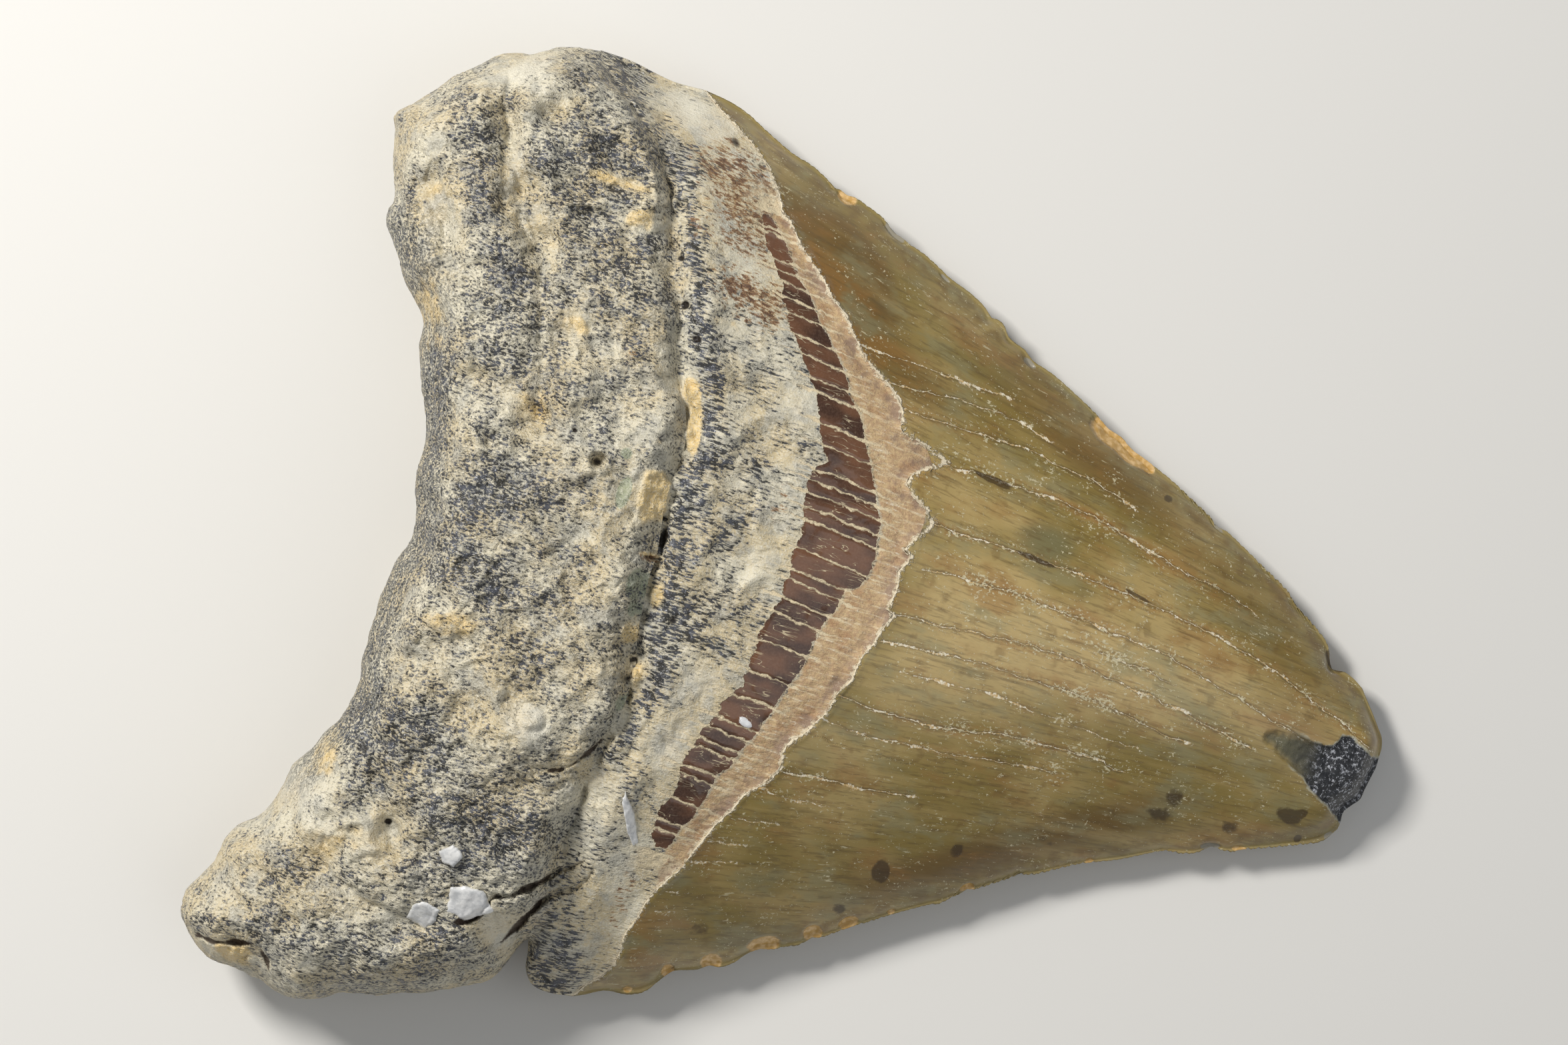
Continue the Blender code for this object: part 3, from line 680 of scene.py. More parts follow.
# Millimetres by which root and neck rise above the solid form or sink below it, and sizes of the patterns.
boneRise = {
    "crust": 0.26, "knobs": 0.7, "knobSize": 5.2, "grain": 0.26, "grainSize": 2.1, "crease": 0.3,
    "creaseSize": 4.4, "valley": 0.6, "valleyHalf": 0.55, "valleySway": 0.5, "groove": 0.75,
    "grooveHalf": 0.6, "grooveSway": 0.6, "ridge": 0.45, "ridgeHalf": 1, "sediment": 0.25,
    "sedimentSize": 0.9, "shade": 0.5, "boss": 0.4, "bossHalf": 1.1, "bossRing": 0.35,
    "ringRadius": 1.6, "ringHalf": 0.28,
}
foramen = {"place": (-28.5, 10.8), "radius": 0.85, "depth": 1.3, "ring": 0.28}


def asSeen(x, y, height):
    # where a point of this height stands against the outline's plane: away from the frame's middle
    # by distance / (distance - rise)
    centreX, centreY = eye["centre"]
    reach = eye["distance"] / (eye["distance"] + eye["outlineHeight"] - height)
    return centreX + (x - centreX) * reach, centreY + (y - centreY) * reach


def boneFields(x, y, inside, top=None):
    # soft ovals for each zone as the photo shows it, with lattice noise to break their borders
    coarse = layeredNoise(x, y, 7, 11)
    medium = layeredNoise(x, y, 2.6, 23)
    if top is not None:
        seenX, seenY = asSeen(x, y, top)
        zones = {name: softOvals(seenX, seenY, ovals) for name, ovals in boneZones.items()}
        ridge = bell(distanceTo(seenX, seenY, ridgeLine), 1.15)
        sideRim = 1 - smoothStep(inside, 2.2, 4.6)
        basal = sideRim * smoothStep(-x, 38, 42) * smoothStep(34 - np.abs(y), 0, 8)
        basal = np.maximum(basal, softOvals(x, y, [(-51, 24, 3.4, 8, 25, 0.9)]))
        ledge = x - lineX(y, ledgeLine)
        grey = bell(ledge + 1.8, 1.8)
        # painted shade: the groove's hollow gap joins the shade field, except where sediment fills it
        gap = bell(ledge - 0.5 + boneRise["grooveSway"] * layeredNoise(x, y, 2.8, 73, 2), 0.42)
        hollow = smoothStep(layeredNoise(x, y, 3.4, 43, 2), -0.1, 0.35) * smoothStep(inside, 1, 4)
        zones["shade"] = zones["shade"] + 0.6 * gap * hollow * (1 - smoothStep(zones["ochre"], 0.2, 0.6))
    else:
        zones = {name: np.zeros_like(x) for name in boneZones}
        ridge = basal = ledge = grey = np.zeros_like(x)
    mix = crustMix
    crust = zones["crust"] - mix["bare"] * zones["bare"] + mix["ridge"] * ridge + mix["basal"] * basal
    crust = crust - mix["grey"] * grey - mix["ochre"] * zones["ochre"] + mix["coarse"] * coarse
    crust = crust + mix["medium"] * medium + mix["base"] - mix["pastLedge"] * smoothStep(ledge, 4, 6.5)
    return {
        "crust": crust,
        "ochre": zones["ochre"] + 0.45 * layeredNoise(x, y, 4, 37) - 0.05,
        "pale": zones["bare"] + 0.35 * layeredNoise(x, y, 3.2, 41),
        "rust": zones["rust"],
        "green": zones["green"],
        "shade": zones["shade"],
        "basalRim": basal,
    }


def creviceField(x, y):
    # the depth cut at each point and, from 0 to 1, how far it lies in a crevice: e to minus a power of
    # the distance over the half width
    cut, inner = np.zeros_like(x), np.zeros_like(x)
    wobble = 0.2 * layeredNoise(x, y, 1.6, 53)
    for route, depth, half in zip(crevices["routes"], crevices["depth"], crevices["half"]):
        line = smoothCurve(route, 4)
        ends = np.minimum(*[np.hypot(x - end[0], y - end[1]) for end in (line[0], line[-1])])
        width = half * (0.45 + 0.55 * smoothStep(ends, 0, 2.5))
        share = np.exp(-(np.maximum(distanceTo(x, y, line) + wobble, 0) / width) ** 2.5)
        trough = 0.3 * bell(distanceTo(x, y, line), 5 * half)
        cut = np.maximum(cut, depth * (share + trough) * smoothStep(ends, -0.5, 2))
        inner = np.maximum(inner, share)
    return cut, inner


def boneRelief(x, y, inside, fields, top):
    # height added to the smooth form: a thin raised crust, folded noise for lumps and creases, bell-shaped
    # valleys, grooves and ridges, crevices and pits; and how far each point lies in a crevice
    rise = boneRise
    seenX, seenY = asSeen(x, y, top)
    crust = smoothStep(fields["crust"], -0.15, 0.35)
    rough = smoothStep(inside, 0, 2)
    knobs = 1 - np.abs(layeredNoise(x, y, rise["knobSize"], 61, 3)) * 1.6
    relief = rise["crust"] * crust + rise["knobs"] * rough * (knobs - 0.6)
    relief += rise["grain"] * layeredNoise(x, y, rise["grainSize"], 67, 4, 0.65)
    creases = np.clip(1 - 6 * np.abs(layeredNoise(x, y, rise["creaseSize"], 77, 3)), 0, 1)
    relief -= rise["crease"] * rough * creases ** 2
    for valley in bodyForm["valleys"]:
        way = distanceTo(x, y, valley) + rise["valleySway"] * layeredNoise(x, y, 2.4, 69, 2)
        relief -= rise["valley"] * bell(way, rise["valleyHalf"])
    step = x - lineX(y, ledgeLine) + rise["grooveSway"] * layeredNoise(x, y, 2.8, 73, 2)
    bare = rough * (1 - smoothStep(fields["ochre"], 0.3, 0.8))
    relief -= rise["groove"] * bare * bell(step - 0.4, rise["grooveHalf"])
    relief += rise["ridge"] * rough * bell(distanceTo(seenX, seenY, ridgeLine), rise["ridgeHalf"])
    clods = 1 + 1.2 * layeredNoise(x, y, rise["sedimentSize"], 71, 3, 0.7)
    relief += rise["sediment"] * smoothStep(fields["ochre"], 0.45, 0.7) * clods
    fromBoss = np.hypot(seenX - bodyForm["boss"][0], seenY - bodyForm["boss"][1])
    relief += rise["boss"] * np.exp(-(fromBoss / rise["bossHalf"]) ** 4)
    relief -= rise["bossRing"] * bell(fromBoss - rise["ringRadius"], rise["ringHalf"])
    cut, inner = creviceField(seenX, seenY)
    away = np.hypot(seenX - foramen["place"][0], seenY - foramen["place"][1]) / foramen["radius"]
    relief += foramen["ring"] * bell(away - 1.35, 0.35)
    relief -= foramen["depth"] * np.exp(-away ** 4)
    relief -= rise["shade"] * np.clip(fields["shade"], 0, 1)
    return relief - cut * rough, inner


def strandNoise(x, y, z):
    # the net of fine strands, -1 to 1: noise stretched along X on the inner part of the root,
    # rounder near the basal side, on places leaned with the height so that steep sides keep it
    u, v = x + 0.7 * z, y + 0.5 * z
    long = smoothStep(x + 3 * latticeNoise(x / 5, y / 5, 79), -44, -37)
    streaks = 0.5 * latticeNoise(u / 0.95, v / 0.36, 83) + 0.6 * latticeNoise(u / 0.5, v / 0.28, 89)
    lumps = 0.5 * latticeNoise(u / 0.56, v / 0.52, 97) + 0.6 * latticeNoise(u / 0.34, v / 0.34, 101)
    return lumps + (streaks - lumps) * long


def strandCut(fields):
    # depth of the hollows between strands, 0 to 1, strongest in the crust
    return smoothStep(fields["strand"], -0.3, 0.5) * (0.3 + 0.7 * smoothStep(fields["crust"], -0.6, 0.5))


# The collar of dark cells and the strip beyond it

collar = {
    # Y, then X of the basal and of the apical border
    "borders": [
        (40.2, -18.9, -18.3), (39.5, -18.8, -17.5), (38.3, -18.6, -16.5), (37, -17.8, -15.3),
        (35.7, -16.7, -14.3), (34.8, -16, -13.7), (33.3, -15, -12), (32, -14.8, -11), (31, -13.8, -10.3),
        (30, -13.4, -9.2), (28.5, -12, -8), (26.3, -10.3, -6), (24.6, -9.2, -5.1), (22.5, -8, -3.3),
        (20, -7, -2), (17.4, -5.6, -0.7), (16.4, -6.6, -0.2), (15, -7, 0.4), (13, -6.6, 1.5),
        (9.5, -6, 2.1), (7, -6.2, 1.8), (5.9, -6.1, 1.2), (5.2, -6, -0.1), (3.5, -6.3, -0.2),
        (1.8, -6.4, -1), (-0.5, -7.2, -1.6), (-3.7, -7.2, -2.1), (-6.8, -7.4, -3.2), (-9.2, -8.8, -3.7),
        (-11.5, -9.6, -4.7), (-13, -10.2, -5.3), (-15, -10.5, -6), (-17, -11.2, -7.2), (-19, -10.8, -7.5),
        (-21, -11.8, -8.2), (-22.5, -12, -9), (-24.5, -11.7, -9.5), (-25.4, -11, -10.2),
    ],
    "cracks": [
        40.6, 39, 38.6, 36, 35, 33.8, 32.5, 31, 29, 27.2, 25.2, 24, 21, 18.9, 16.3, 15.2, 13.9, 12.4, 11.2,
        8.1, 5.8, 4.8, 2.8, 1.2, -1.8, -5.2, -7.9, -10.7, -11.8, -13.3, -14, -16.4, -17.2, -19.9, -22.5,
        -23.4, -26,
    ],
    "slant": 0.1,      # how far a crack drops for each millimetre towards the tip
    "flake": (-6, -10.5, 0.8, 0.45, -20, 1.2),
}


def crackCount(y, places):
    # a number that passes a whole value at each crack and rises evenly between them, and the gap there
    steps = np.sort(np.array(places))
    count = np.interp(y, steps, np.arange(len(steps), dtype=float))
    middles = np.concatenate([[steps[0]], (steps[1:] + steps[:-1]) / 2, [steps[-1]]])
    gaps = np.concatenate([[1.5], np.diff(steps), [1.5]])
    return count, np.interp(y, middles, gaps)


def toCrack(fields):
    # distance to the nearest crack: how far the count is from a whole number, times the gap
    count = fields["crackCount"]
    return np.abs(count - np.round(count)) * fields["crackGap"]


def collarFields(x, y):
    # millimetres inside the collar's borders, millimetres past its apical border, and its cracks
    borders = np.array(collar["borders"])[::-1]
    jag = 0.22 * layeredNoise(x * 0.3, y, 1.1, 103, 2)
    basal = np.interp(y, borders[:, 0], borders[:, 1]) + jag
    apical = np.interp(y, borders[:, 0], borders[:, 2]) + 0.6 * jag
    ends = np.minimum(borders[-1, 0] - y, y - borders[0, 0])
    inner = np.minimum(np.minimum(x - basal, apical - x), ends * 0.8)
    drop = y + collar["slant"] * (x - basal) + 0.12 * layeredNoise(x, y, 1.4, 107, 2)
    count, gap = crackCount(drop, collar["cracks"])
    return {"collar": inner, "pastCollar": x - apical, "crackCount": count, "crackGap": gap}


print("form and fields are ready")

# Materials of the root and the neck

boneLook = {
    "cream": (210, 202, 178), "tan": (198, 180, 140), "grey": (168, 165, 152), "white": (224, 220, 206),
    "ochre": (226, 196, 132), "rust": (92, 52, 26), "green": (140, 150, 124), "rim": (62, 63, 60),
    "nearBlack": (18, 20, 25), "slate": (62, 67, 80), "halo": (114, 114, 110), "holeShadeTone": (34, 27, 20),
    "fineSize": 0.22, "poreDepth": 0.22, "poreSize": 0.24,
}


def boneColours(sheet, stretch):
    # mineral crust over cream bone: noise stretched along X picks the dark strands, and the crust field
    # sets how many there are; ochre, rust and green stains lie between them; the steep basal side is
    # darkened partly as painted shade, holes and the groove's gap are painted shade, and pale specks
    # on the crust are painted glints
    look = boneLook
    place = sheet.place
    names = ("crust", "ochre", "pale", "rust", "green", "shade", "basalRim")
    crust, ochre, pale, rust, green, shade, rim = sheet.attributes(*names)
    streakPlace = place.stretched(0.28, 1.2, 1)
    fine = place.noise(look["fineSize"], 2, 0.6)
    hair = place.stretched(stretch, 1, 0.8).noise(look["poreSize"], 2, 0.55)
    patches = place.noise(1.5, 3, 0.6)
    net = sheet.attribute("strand") * 0.32 + (hair - 0.5) * 3.3 + (patches - 0.5) * 1.3
    cover = net + crust.least(0.9).most(-1.3) * 0.46 - 0.28
    dark = cover.step(-0.06, 0.14)
    halo = cover.step(-0.45, 0)

    light = sheet.mix(place.noise(6, 3).step(0.36, 0.6) * 0.85, look["cream"], look["tan"])
    light = light.painted(place.noise(2.7, 4, 0.6).step(0.48, 0.62) * 0.7, look["grey"])
    light = light.painted(pale.step(0.7, 1.5) * 0.4, look["white"])
    # the steep basal side: grey striated bone, darkened further as painted shade of that side
    grooves = place.stretched(1.5, 0.22, 0.7).noise(0.5, 3, 0.7)
    light = light.painted(rim * (grooves + hair - 0.5).step(0.36, 0.56) * 0.95, look["rim"])
    light = light.painted(halo * 0.32, look["halo"])
    silt = (ochre + (fine - 0.5) * 0.9 + (patches - 0.5) * 1.2).step(0.35, 0.85)
    light = light.painted(silt * 0.85, look["ochre"])
    light = light.painted((green + (fine - 0.5) * 0.4).step(0.3, 0.6) * 0.8, look["green"])
    rustGrain = (streakPlace.noise(0.42, 3, 0.7) - 0.5) * 4.6 + (patches - 0.5) * 1.6
    rustShare = (rust * 0.8 + rustGrain).step(0.35, 0.95) * rust.step(0.02, 0.25)
    rustTone = sheet.mix((rust * 0.5 + rustGrain * 0.7).step(0.4, 0.9), (156, 116, 72), look["rust"])
    light = light.painted((fine - 0.5) * 2.2 + 0.1, look["white"])
    light = light.painted(rustShare * 0.9, rustTone)
    deep = sheet.mix(place.noise(0.9, 3).step(0.4, 0.66), look["nearBlack"], look["slate"])
    colour = sheet.mix(dark * (0.92 - rustShare * 0.6), light, deep)
    # painted glints: small pale specks on the crust in place of specular sparkle
    paintedGlint = place.stretched(0.8, 1, 1).noise(0.21, 2, 0.6).step(0.62, 0.68)
    colour = colour.painted(paintedGlint * crust.step(-0.1, 0.8) * 0.6, (206, 208, 214))
    # painted shade: holes, pits and the groove's gap darkened where the shade field is high, with one real
    # dark patch
    colour = colour.painted(shade.step(0.35, 0.9), look["holeShadeTone"])
    height = halo * -0.5 + fine * 0.5 + hair * 0.8
    rough = 0.54 - dark * 0.3 + fine * 0.12
    return colour, rough, height, fine


def rootMaterial():
    # bone, with painted shade darkening the crevices
    sheet = Sheet("porousRoot")
    colour, rough, height, _ = boneColours(sheet, 0.46)
    crevice = sheet.attribute("crevice")
    # painted shade: brown-black in the crevices where shadow falls
    colour = colour.painted(crevice.step(0.2, 0.9) * 0.9, (62, 44, 30))
    grain = sheet.bump(height, boneLook["poreDepth"])
    sheet.feed(Base_Color=colour, Roughness=rough + crevice * 0.3, Normal=grain)
    return sheet.material


collarLook = {
    "dark": (62, 38, 24), "warm": (108, 72, 48), "crack": (220, 203, 168), "strip": (202, 174, 130),
    "stripPink": (180, 149, 115), "stripPale": (224, 208, 174), "edge": (214, 200, 172),
    "crackHalf": -0.02, "corner": 0.34, "roughness": 0.22,
}


def neckMaterial():
    # bone that gives way to the collar of dark cells and the strip of bare dentine
    sheet = Sheet("neckAndCollar")
    look = collarLook
    place = sheet.place
    colour, rough, height, fine = boneColours(sheet, 0.22)
    wobble = place.noise(0.6, 3, 0.7) - 0.5
    names = ("collar", "pastCollar", "crackCount", "crackGap", "toEnamel")
    inner, past, count, gap, toEnamel = sheet.attributes(*names)
    inner, past = inner + wobble * 0.9, past + wobble * 0.5
    sway = (place.stretched(0.9, 1.2, 1).noise(0.7, 3) - 0.5) * 0.6
    crackWay = abs((count - count.rounded()) * gap + sway)
    crackHalf = look["crackHalf"] + place.stretched(0.6, 1, 1).noise(1, 3).step(0.38, 0.7) * 0.11

    # the strip of bare dentine between the collar and the enamel, granular, with fine lines along X
    grain = place.noise(0.33, 3, 0.7)
    lines = place.stretched(0.16, 1.6, 1).noise(0.55, 3, 0.6)
    strip = sheet.mix(grain.step(0.35, 0.65), look["strip"], look["stripPink"])
    strip = strip.painted(lines.step(0.5, 0.66) * 0.55, look["stripPale"])
    strip = strip.painted(place.noise(2.2, 3).step(0.5, 0.7) * 0.5, (156, 110, 72))
    border = (2 - toEnamel + wobble * 2.6).step(0, 1.4) * place.noise(2.4, 3).step(0.38, 0.6)
    strip = strip.painted(border * 0.8, (138, 114, 98))
    strip = strip.painted((grain * lines).step(0.34, 0.42) * 0.6, (236, 226, 202))
    width = (2.2 + wobble - toEnamel * 0.35 + past * 0.4).step(0, 0.6)
    stripShare = (past + wobble * 0.5).step(-0.1, 0.4) * width
    colour = colour.painted(stripShare, strip)

    # dark glossy cells, each a little different, with pale cracks between them
    cellTone = place.stretched(0.35, 1, 1).noise(2.4, 2).step(0.35, 0.65)
    cell = sheet.mix(cellTone, look["dark"], look["warm"])
    cell = cell.painted((fine - 0.5) * 0.5 + 0.05, (150, 120, 100))
    short = (look["corner"] - inner).most(0)
    near = (look["corner"] - crackWay + crackHalf).most(0)
    cellShare = (look["corner"] - (short * short + near * near).power(0.5)).step(0, 0.08)
    colour = colour.painted(inner.step(-0.1, 0.1), look["crack"])
    colour = colour.painted(cellShare, cell)
    crackShare = (1 - (crackWay - crackHalf).step(0.03, 0.13)) * inner.step(-3.2, -0.2)
    crackShare = crackShare * (1 - toEnamel.step(14, 18))
    hairPlace = place.noise(2, 2).step(0.45, 0.6) * inner.step(-3, -0.1)
    hairPlace = hairPlace * (1 - toEnamel.step(12, 15))
    hairline = place.stretched(0.16, 1.5, 1).noise(1.1, 2, 0.6, 0.4)
    hairline = (1 - abs(hairline - 0.5).step(0.004, 0.014)) * hairPlace
    crackShare = crackShare.most(hairline * 0.7)
    colour = colour.painted(crackShare, look["crack"])
    edgeShare = 1 - (toEnamel + wobble * 1.5).step(0.02, 0.3)
    colour = colour.painted(edgeShare, look["edge"])
    flake = (sheet.attribute("flake") + wobble * 1.6).step(0.4, 0.7)
    colour = colour.painted(flake, (236, 236, 236))
    gloss = cellShare * (1 - crackShare)
    rough = rough * (1 - gloss) + gloss * look["roughness"]
    height = height * (1 - cellShare) * (1 - stripShare * 0.6)
    height = height + grain * stripShare * 0.5 - crackShare * 0.25 + edgeShare * 0.6
    sheet.feed(Base_Color=colour, Roughness=rough, Coat_Weight=gloss * 0.4, Normal=sheet.bump(height, 0.16))
    return sheet.material


# Enamel

enamelLook = {
    "olive": (133, 114, 57), "golden": (184, 160, 106), "brown": (106, 80, 35), "green": (112, 108, 74),
    "streak": (90, 72, 38), "pale": (206, 196, 160), "crack": (238, 230, 208), "ochre": (200, 168, 112),
    "spotAndPitShade": (56, 38, 14), "chip": (198, 156, 84), "amber": (146, 104, 50), "clear": (138, 134, 100),
    "edge": (150, 134, 86), "line": (222, 210, 184), "tip": (30, 32, 36), "tipEdge": (98, 94, 70),
    "roughness": 0.3,
}
enamelZones = {
    "golden": [
        (25, 7, 17, 8, -8, 1.1), (12, 20, 9, 4, -8, 0.5), (14, 1, 10, 8, 0, 0.5),
        (44, 7.5, 10, 4.5, -15, 0.3), (8, -12, 12, 5, 0, 0.3),
    ],
    "brown": [
        (20, 26.5, 16, 3.2, -26, 0.8), (42, 14.5, 8, 3, -28, 0.6), (-12, 37, 13, 4, -33, 1.2),
        (8, -24, 12, 5, 30, 0.3), (24, -16, 16, 2.6, 33, 0.9), (49, 6, 7, 5, -15, 0.5),
        (38, -8, 10, 3, 20, 0.4), (-9, 39.5, 6, 2.4, -33, 1), (2, 27, 8, 3, -10, 0.5),
    ],
    "amber": [
        (-8, 33.5, 9, 2.4, -42, 1), (15, 8.5, 2.5, 2, 20, 0.8), (24, -4, 3.5, 1.4, -5, 0.7),
        (-9.5, -37, 2, 3.5, 20, 0.9), (34, 6, 4, 1.5, -10, 0.6), (8, 11.5, 3, 1, 0, 0.6),
        (40, 1, 3, 1.5, -10, 0.5), (30, 18, 8, 1.2, -18, 0.5),
    ],
    "green": [
        (18.5, 15.8, 3.6, 2.2, 0, 1.3), (23.5, 12, 1.6, 1.2, 0, 0.7), (4, 34, 12, 3, -27, 0.6),
        (4, -12, 8, 7, 0, 0.5),
    ],
    "spotAndPitShade": [
        (12, -21.9, 1, 1.3, 10, 1.3), (9, -27, 0.8, 0.7, 0, 0.9), (19, -17.5, 0.8, 0.9, 0, 0.9),
        (51.5, -4.3, 1.5, 0.9, -10, 1.2), (52.8, -3.6, 0.6, 0.5, 0, 1), (53.4, -6.4, 0.45, 0.45, 0, 1.3),
        (46, -7.2, 1.3, 1, 0, 0.7), (39.2, -5.8, 1.2, 1.2, 0, 0.8), (38.3, -8, 1.8, 0.9, 0, 0.8),
        (27.6, -14.1, 1.2, 0.9, 0, 0.5), (30, 24, 0.6, 0.45, 0, 1), (33.5, -9, 1, 0.6, 0, 0.5),
        (22, 3, 0.5, 0.3, 40, 0.6), (11.6, 20.5, 2.1, 0.26, -6, 2), (18, 13.9, 3.5, 0.2, -3, 1.2),
        # the oval at 51.9, 12.6 is painted shade in the pit of the nick there; the others are dark marks of
        # the enamel
        (29, 13.3, 2.2, 0.2, -8, 1.1), (51.9, 12.6, 1.3, 0.7, -35, 2), (5.2, 14.4, 1.2, 0.7, 0, 0.9),
        (-4.5, -33, 1.6, 1, 30, 0.6),
    ],
    "chip": [
        (22, 28.9, 2, 1.1, -24, 1.6), (25, 27.5, 1.9, 1, -24, 1.6), (-11.3, 44.8, 1.1, 0.8, -15, 1.3),
        (-6.3, -38.5, 0.7, 0.8, 0, 1.3), (-2.2, -36.3, 1.1, 0.9, 30, 1.5), (2.6, -33, 1.7, 0.9, 28, 1.5),
        (7.2, -30.4, 1, 0.9, 32, 1.5), (10.5, -28.3, 1.1, 0.7, 38, 1.3), (21.5, -21.3, 0.8, 0.6, 35, 1.2),
        (47.8, -9.2, 0.8, 0.3, 15, 1.2), (14.5, -25.9, 0.5, 0.3, 35, 1), (-9.8, -41.6, 0.6, 0.4, 20, 1),
        (33, -14.9, 0.6, 0.3, 30, 0.9), (27.2, 26.6, 0.7, 0.5, -24, 1.4),
    ],
    "greyChip": [
        (-5.5, 42.7, 1.5, 0.5, -28, 1.2), (44.8, -9.8, 1.2, 0.4, 15, 1.2), (12, 33.6, 0.9, 0.4, -25, 1),
        (1, 39.6, 0.8, 0.3, -27, 0.8), (36, 22.6, 1.2, 0.3, -27, 0.7), (56.5, -5.2, 0.7, 0.4, 45, 1),
    ],
    "fleck": [
        (15.5, 9, 6, 3, -10, 0.5), (12, 22, 6, 1.2, 0, 0.6), (30, 6.5, 6, 2.5, -8, 0.7),
        (28, 1.8, 3, 1, 0, 0.8), (22, -5, 12, 2, 3, 0.5), (39, -6, 2, 2, 0, 0.7),
    ],
}
# Long cracks from the enamel line to the tip: where each begins and ends in X, Y at points along it,
# and its strength; a negative strength is a dark crack.
enamelCracks = [
    {"route": [(-5.5, 29.9), (8, 29.3), (14, 28.9), (30, 24.5), (59, 9.8)],
     "shown": (-5.5, 13), "force": 0.7},
    {"route": [(-2, 27), (8, 27.5), (16, 26.3), (30, 22.6), (59, 9)], "shown": (-2, 18), "force": 0.6},
    {"route": [(0.4, 24.8), (13, 24.7), (18.5, 23.9), (27, 21.8), (59, 8.2)],
     "shown": (0.4, 28), "force": 0.7},
    {"route": [(6.2, 20.6), (13, 20.7), (22, 20), (34, 17), (41, 15.5), (59, 7.6)],
     "shown": (6, 43), "force": 1},
    {"route": [(6.7, 14.3), (22, 13.6), (34, 12.3), (44, 10.2), (53, 6.9), (59, 4.5)],
     "shown": (6.5, 59), "force": 1},
    {"route": [(5, 9.6), (16, 9.8), (31, 8.5), (40, 6.6), (54, 2.5), (59, 1.2)],
     "shown": (7, 55), "force": 0.8},
    {"route": [(5, 6.6), (28, 6.5), (34, 5.8), (44, 4), (59, 0.6)], "shown": (27, 37), "force": 0.7},
    {"route": [(5, 4.4), (20, 5.3), (28, 4.5), (37, 3), (46, 1.3), (59, 0)],
     "shown": (5, 47), "force": 1},
    {"route": [(4.6, 1.5), (14, 2), (28, 1.6), (37, 0.2), (46, -0.6), (59, -1.2)],
     "shown": (5, 40), "force": 0.9},
    {"route": [(3.4, -1.2), (16, -0.7), (26, -1.4), (36, -2.1), (59, -2.2)], "shown": (8, 36), "force": 0.5},
    {"route": [(2.5, -5.3), (12, -5.6), (20, -4.4), (30, -4.2), (34, -4.7), (59, -3.4)],
     "shown": (2.5, 35), "force": 0.9},
    {"route": [(1, -8.2), (12, -8.2), (28, -6.6), (59, -4.4)], "shown": (2, 29), "force": 0.6},
    {"route": [(0, -9.9), (20, -9.6), (59, -5.4)], "shown": (0, 20), "force": -0.5},
    {"route": [(-1.2, -14.2), (5, -13.8), (14, -13), (59, -6.6)], "shown": (-1.2, 15), "force": 0.8},
    {"route": [(-3, -16.3), (5.5, -16.4), (59, -7.6)], "shown": (-3, 6), "force": 0.5},
    {"route": [(-5, -19.6), (1.5, -19.7), (59, -8.6)], "shown": (-5, 2), "force": 0.5},
    {"route": [(-6.6, -22.8), (-1, -22.6), (59, -9.6)], "shown": (-6.6, -1), "force": 0.5},
    {"route": [(-7.4, -25), (-2, -24.9), (59, -10.6)], "shown": (-7.4, -1), "force": 0.5},
    {"route": [(-9, -28.5), (-3, -28.6), (59, -12.6)], "shown": (-9, -4), "force": 0.4},
    {"route": [(-10.6, -31.4), (-6, -31.4), (59, -14.6)], "shown": (-10.6, -6), "force": 0.4},
]
tipPatch = {
    "upper": [(44, 3.3), (46, 3.7), (47.8, 4.2), (49.7, 4.3), (52.1, 4), (53.3, 4), (54, 4.6), (54.3, 5.4),
              (55.2, 5.7), (56.7, 4.9), (58.2, 4.2), (60, 4.2)],
    "lower": [(44, 3.2), (46, 2.5), (47.5, 1.9), (48.7, 1.2), (50.3, 0.5), (51.5, 0), (52.3, -0.9),
              (53.6, -1.5), (55.2, -2.4), (56.7, -3.3), (60, -6)],
}


def enamelFields(x, y, inside, lingual=True):
    # soft ovals for each tint, the count of the long cracks with their strength, and the dark tip
    fields = {name: softOvals(x, y, ovals) * float(lingual) for name, ovals in enamelZones.items()}
    lines = [smoothCurve(crack["route"], 6) for crack in enamelCracks][::-1]
    places = [np.interp(x, line[:, 0], line[:, 1]) for line in lines]
    wave = 0.2 * layeredNoise(x, y, 2, 109, 3)
    count, force, gap = np.zeros_like(x), np.zeros_like(x), np.zeros_like(x)
    for lower, higher in zip(places[:-1], places[1:]):
        count += np.clip((y + wave - lower) / (higher - lower), 0, 1)
    hats = [np.clip(1 - np.abs(count - number), 0, 1) for number in range(len(lines))]
    for number, (crack, hat) in enumerate(zip(enamelCracks[::-1], hats)):
        start, stop = crack["shown"]
        shown = smoothStep(x, start - 1, start + 0.5) * (1 - smoothStep(x, stop - 3, stop))
        force += hat * shown * crack["force"]
        near = places[max(number - 1, 0)], places[min(number + 1, len(places) - 1)]
        gap += hat * (near[1] - near[0]) / (2 if 0 < number < len(places) - 1 else 1)
    beyond = np.maximum(y - places[-1], 0) + np.maximum(places[0] - y, 0)
    force *= bell(beyond, 0.3)
    fields["crackCount"] = count + np.where(y > places[-1], 0.3 * np.clip(beyond, 0, 1), 0)
    fields["crackForce"] = force * float(lingual)
    fields["crackGap"] = gap
    upper, lower = np.array(tipPatch["upper"]), np.array(tipPatch["lower"])
    top = np.interp(x, upper[:, 0], upper[:, 1])
    bottom = np.interp(x, lower[:, 0], lower[:, 1])
    darkTip = np.minimum(top - y, y - bottom) * smoothStep(x, 45, 47)
    darkTip = darkTip - 3 * (1 - smoothStep(x, 44.5, 46.5))
    fields["tipPatch"] = darkTip if lingual else np.where(x > 55.5, x - 56.5, -5)
    fields["rimShare"] = np.exp(-inside / 0.9)
    fields["fromLine"] = np.exp(-distanceTo(x, y, enamelLine) / 0.35) * float(lingual)
    return fields


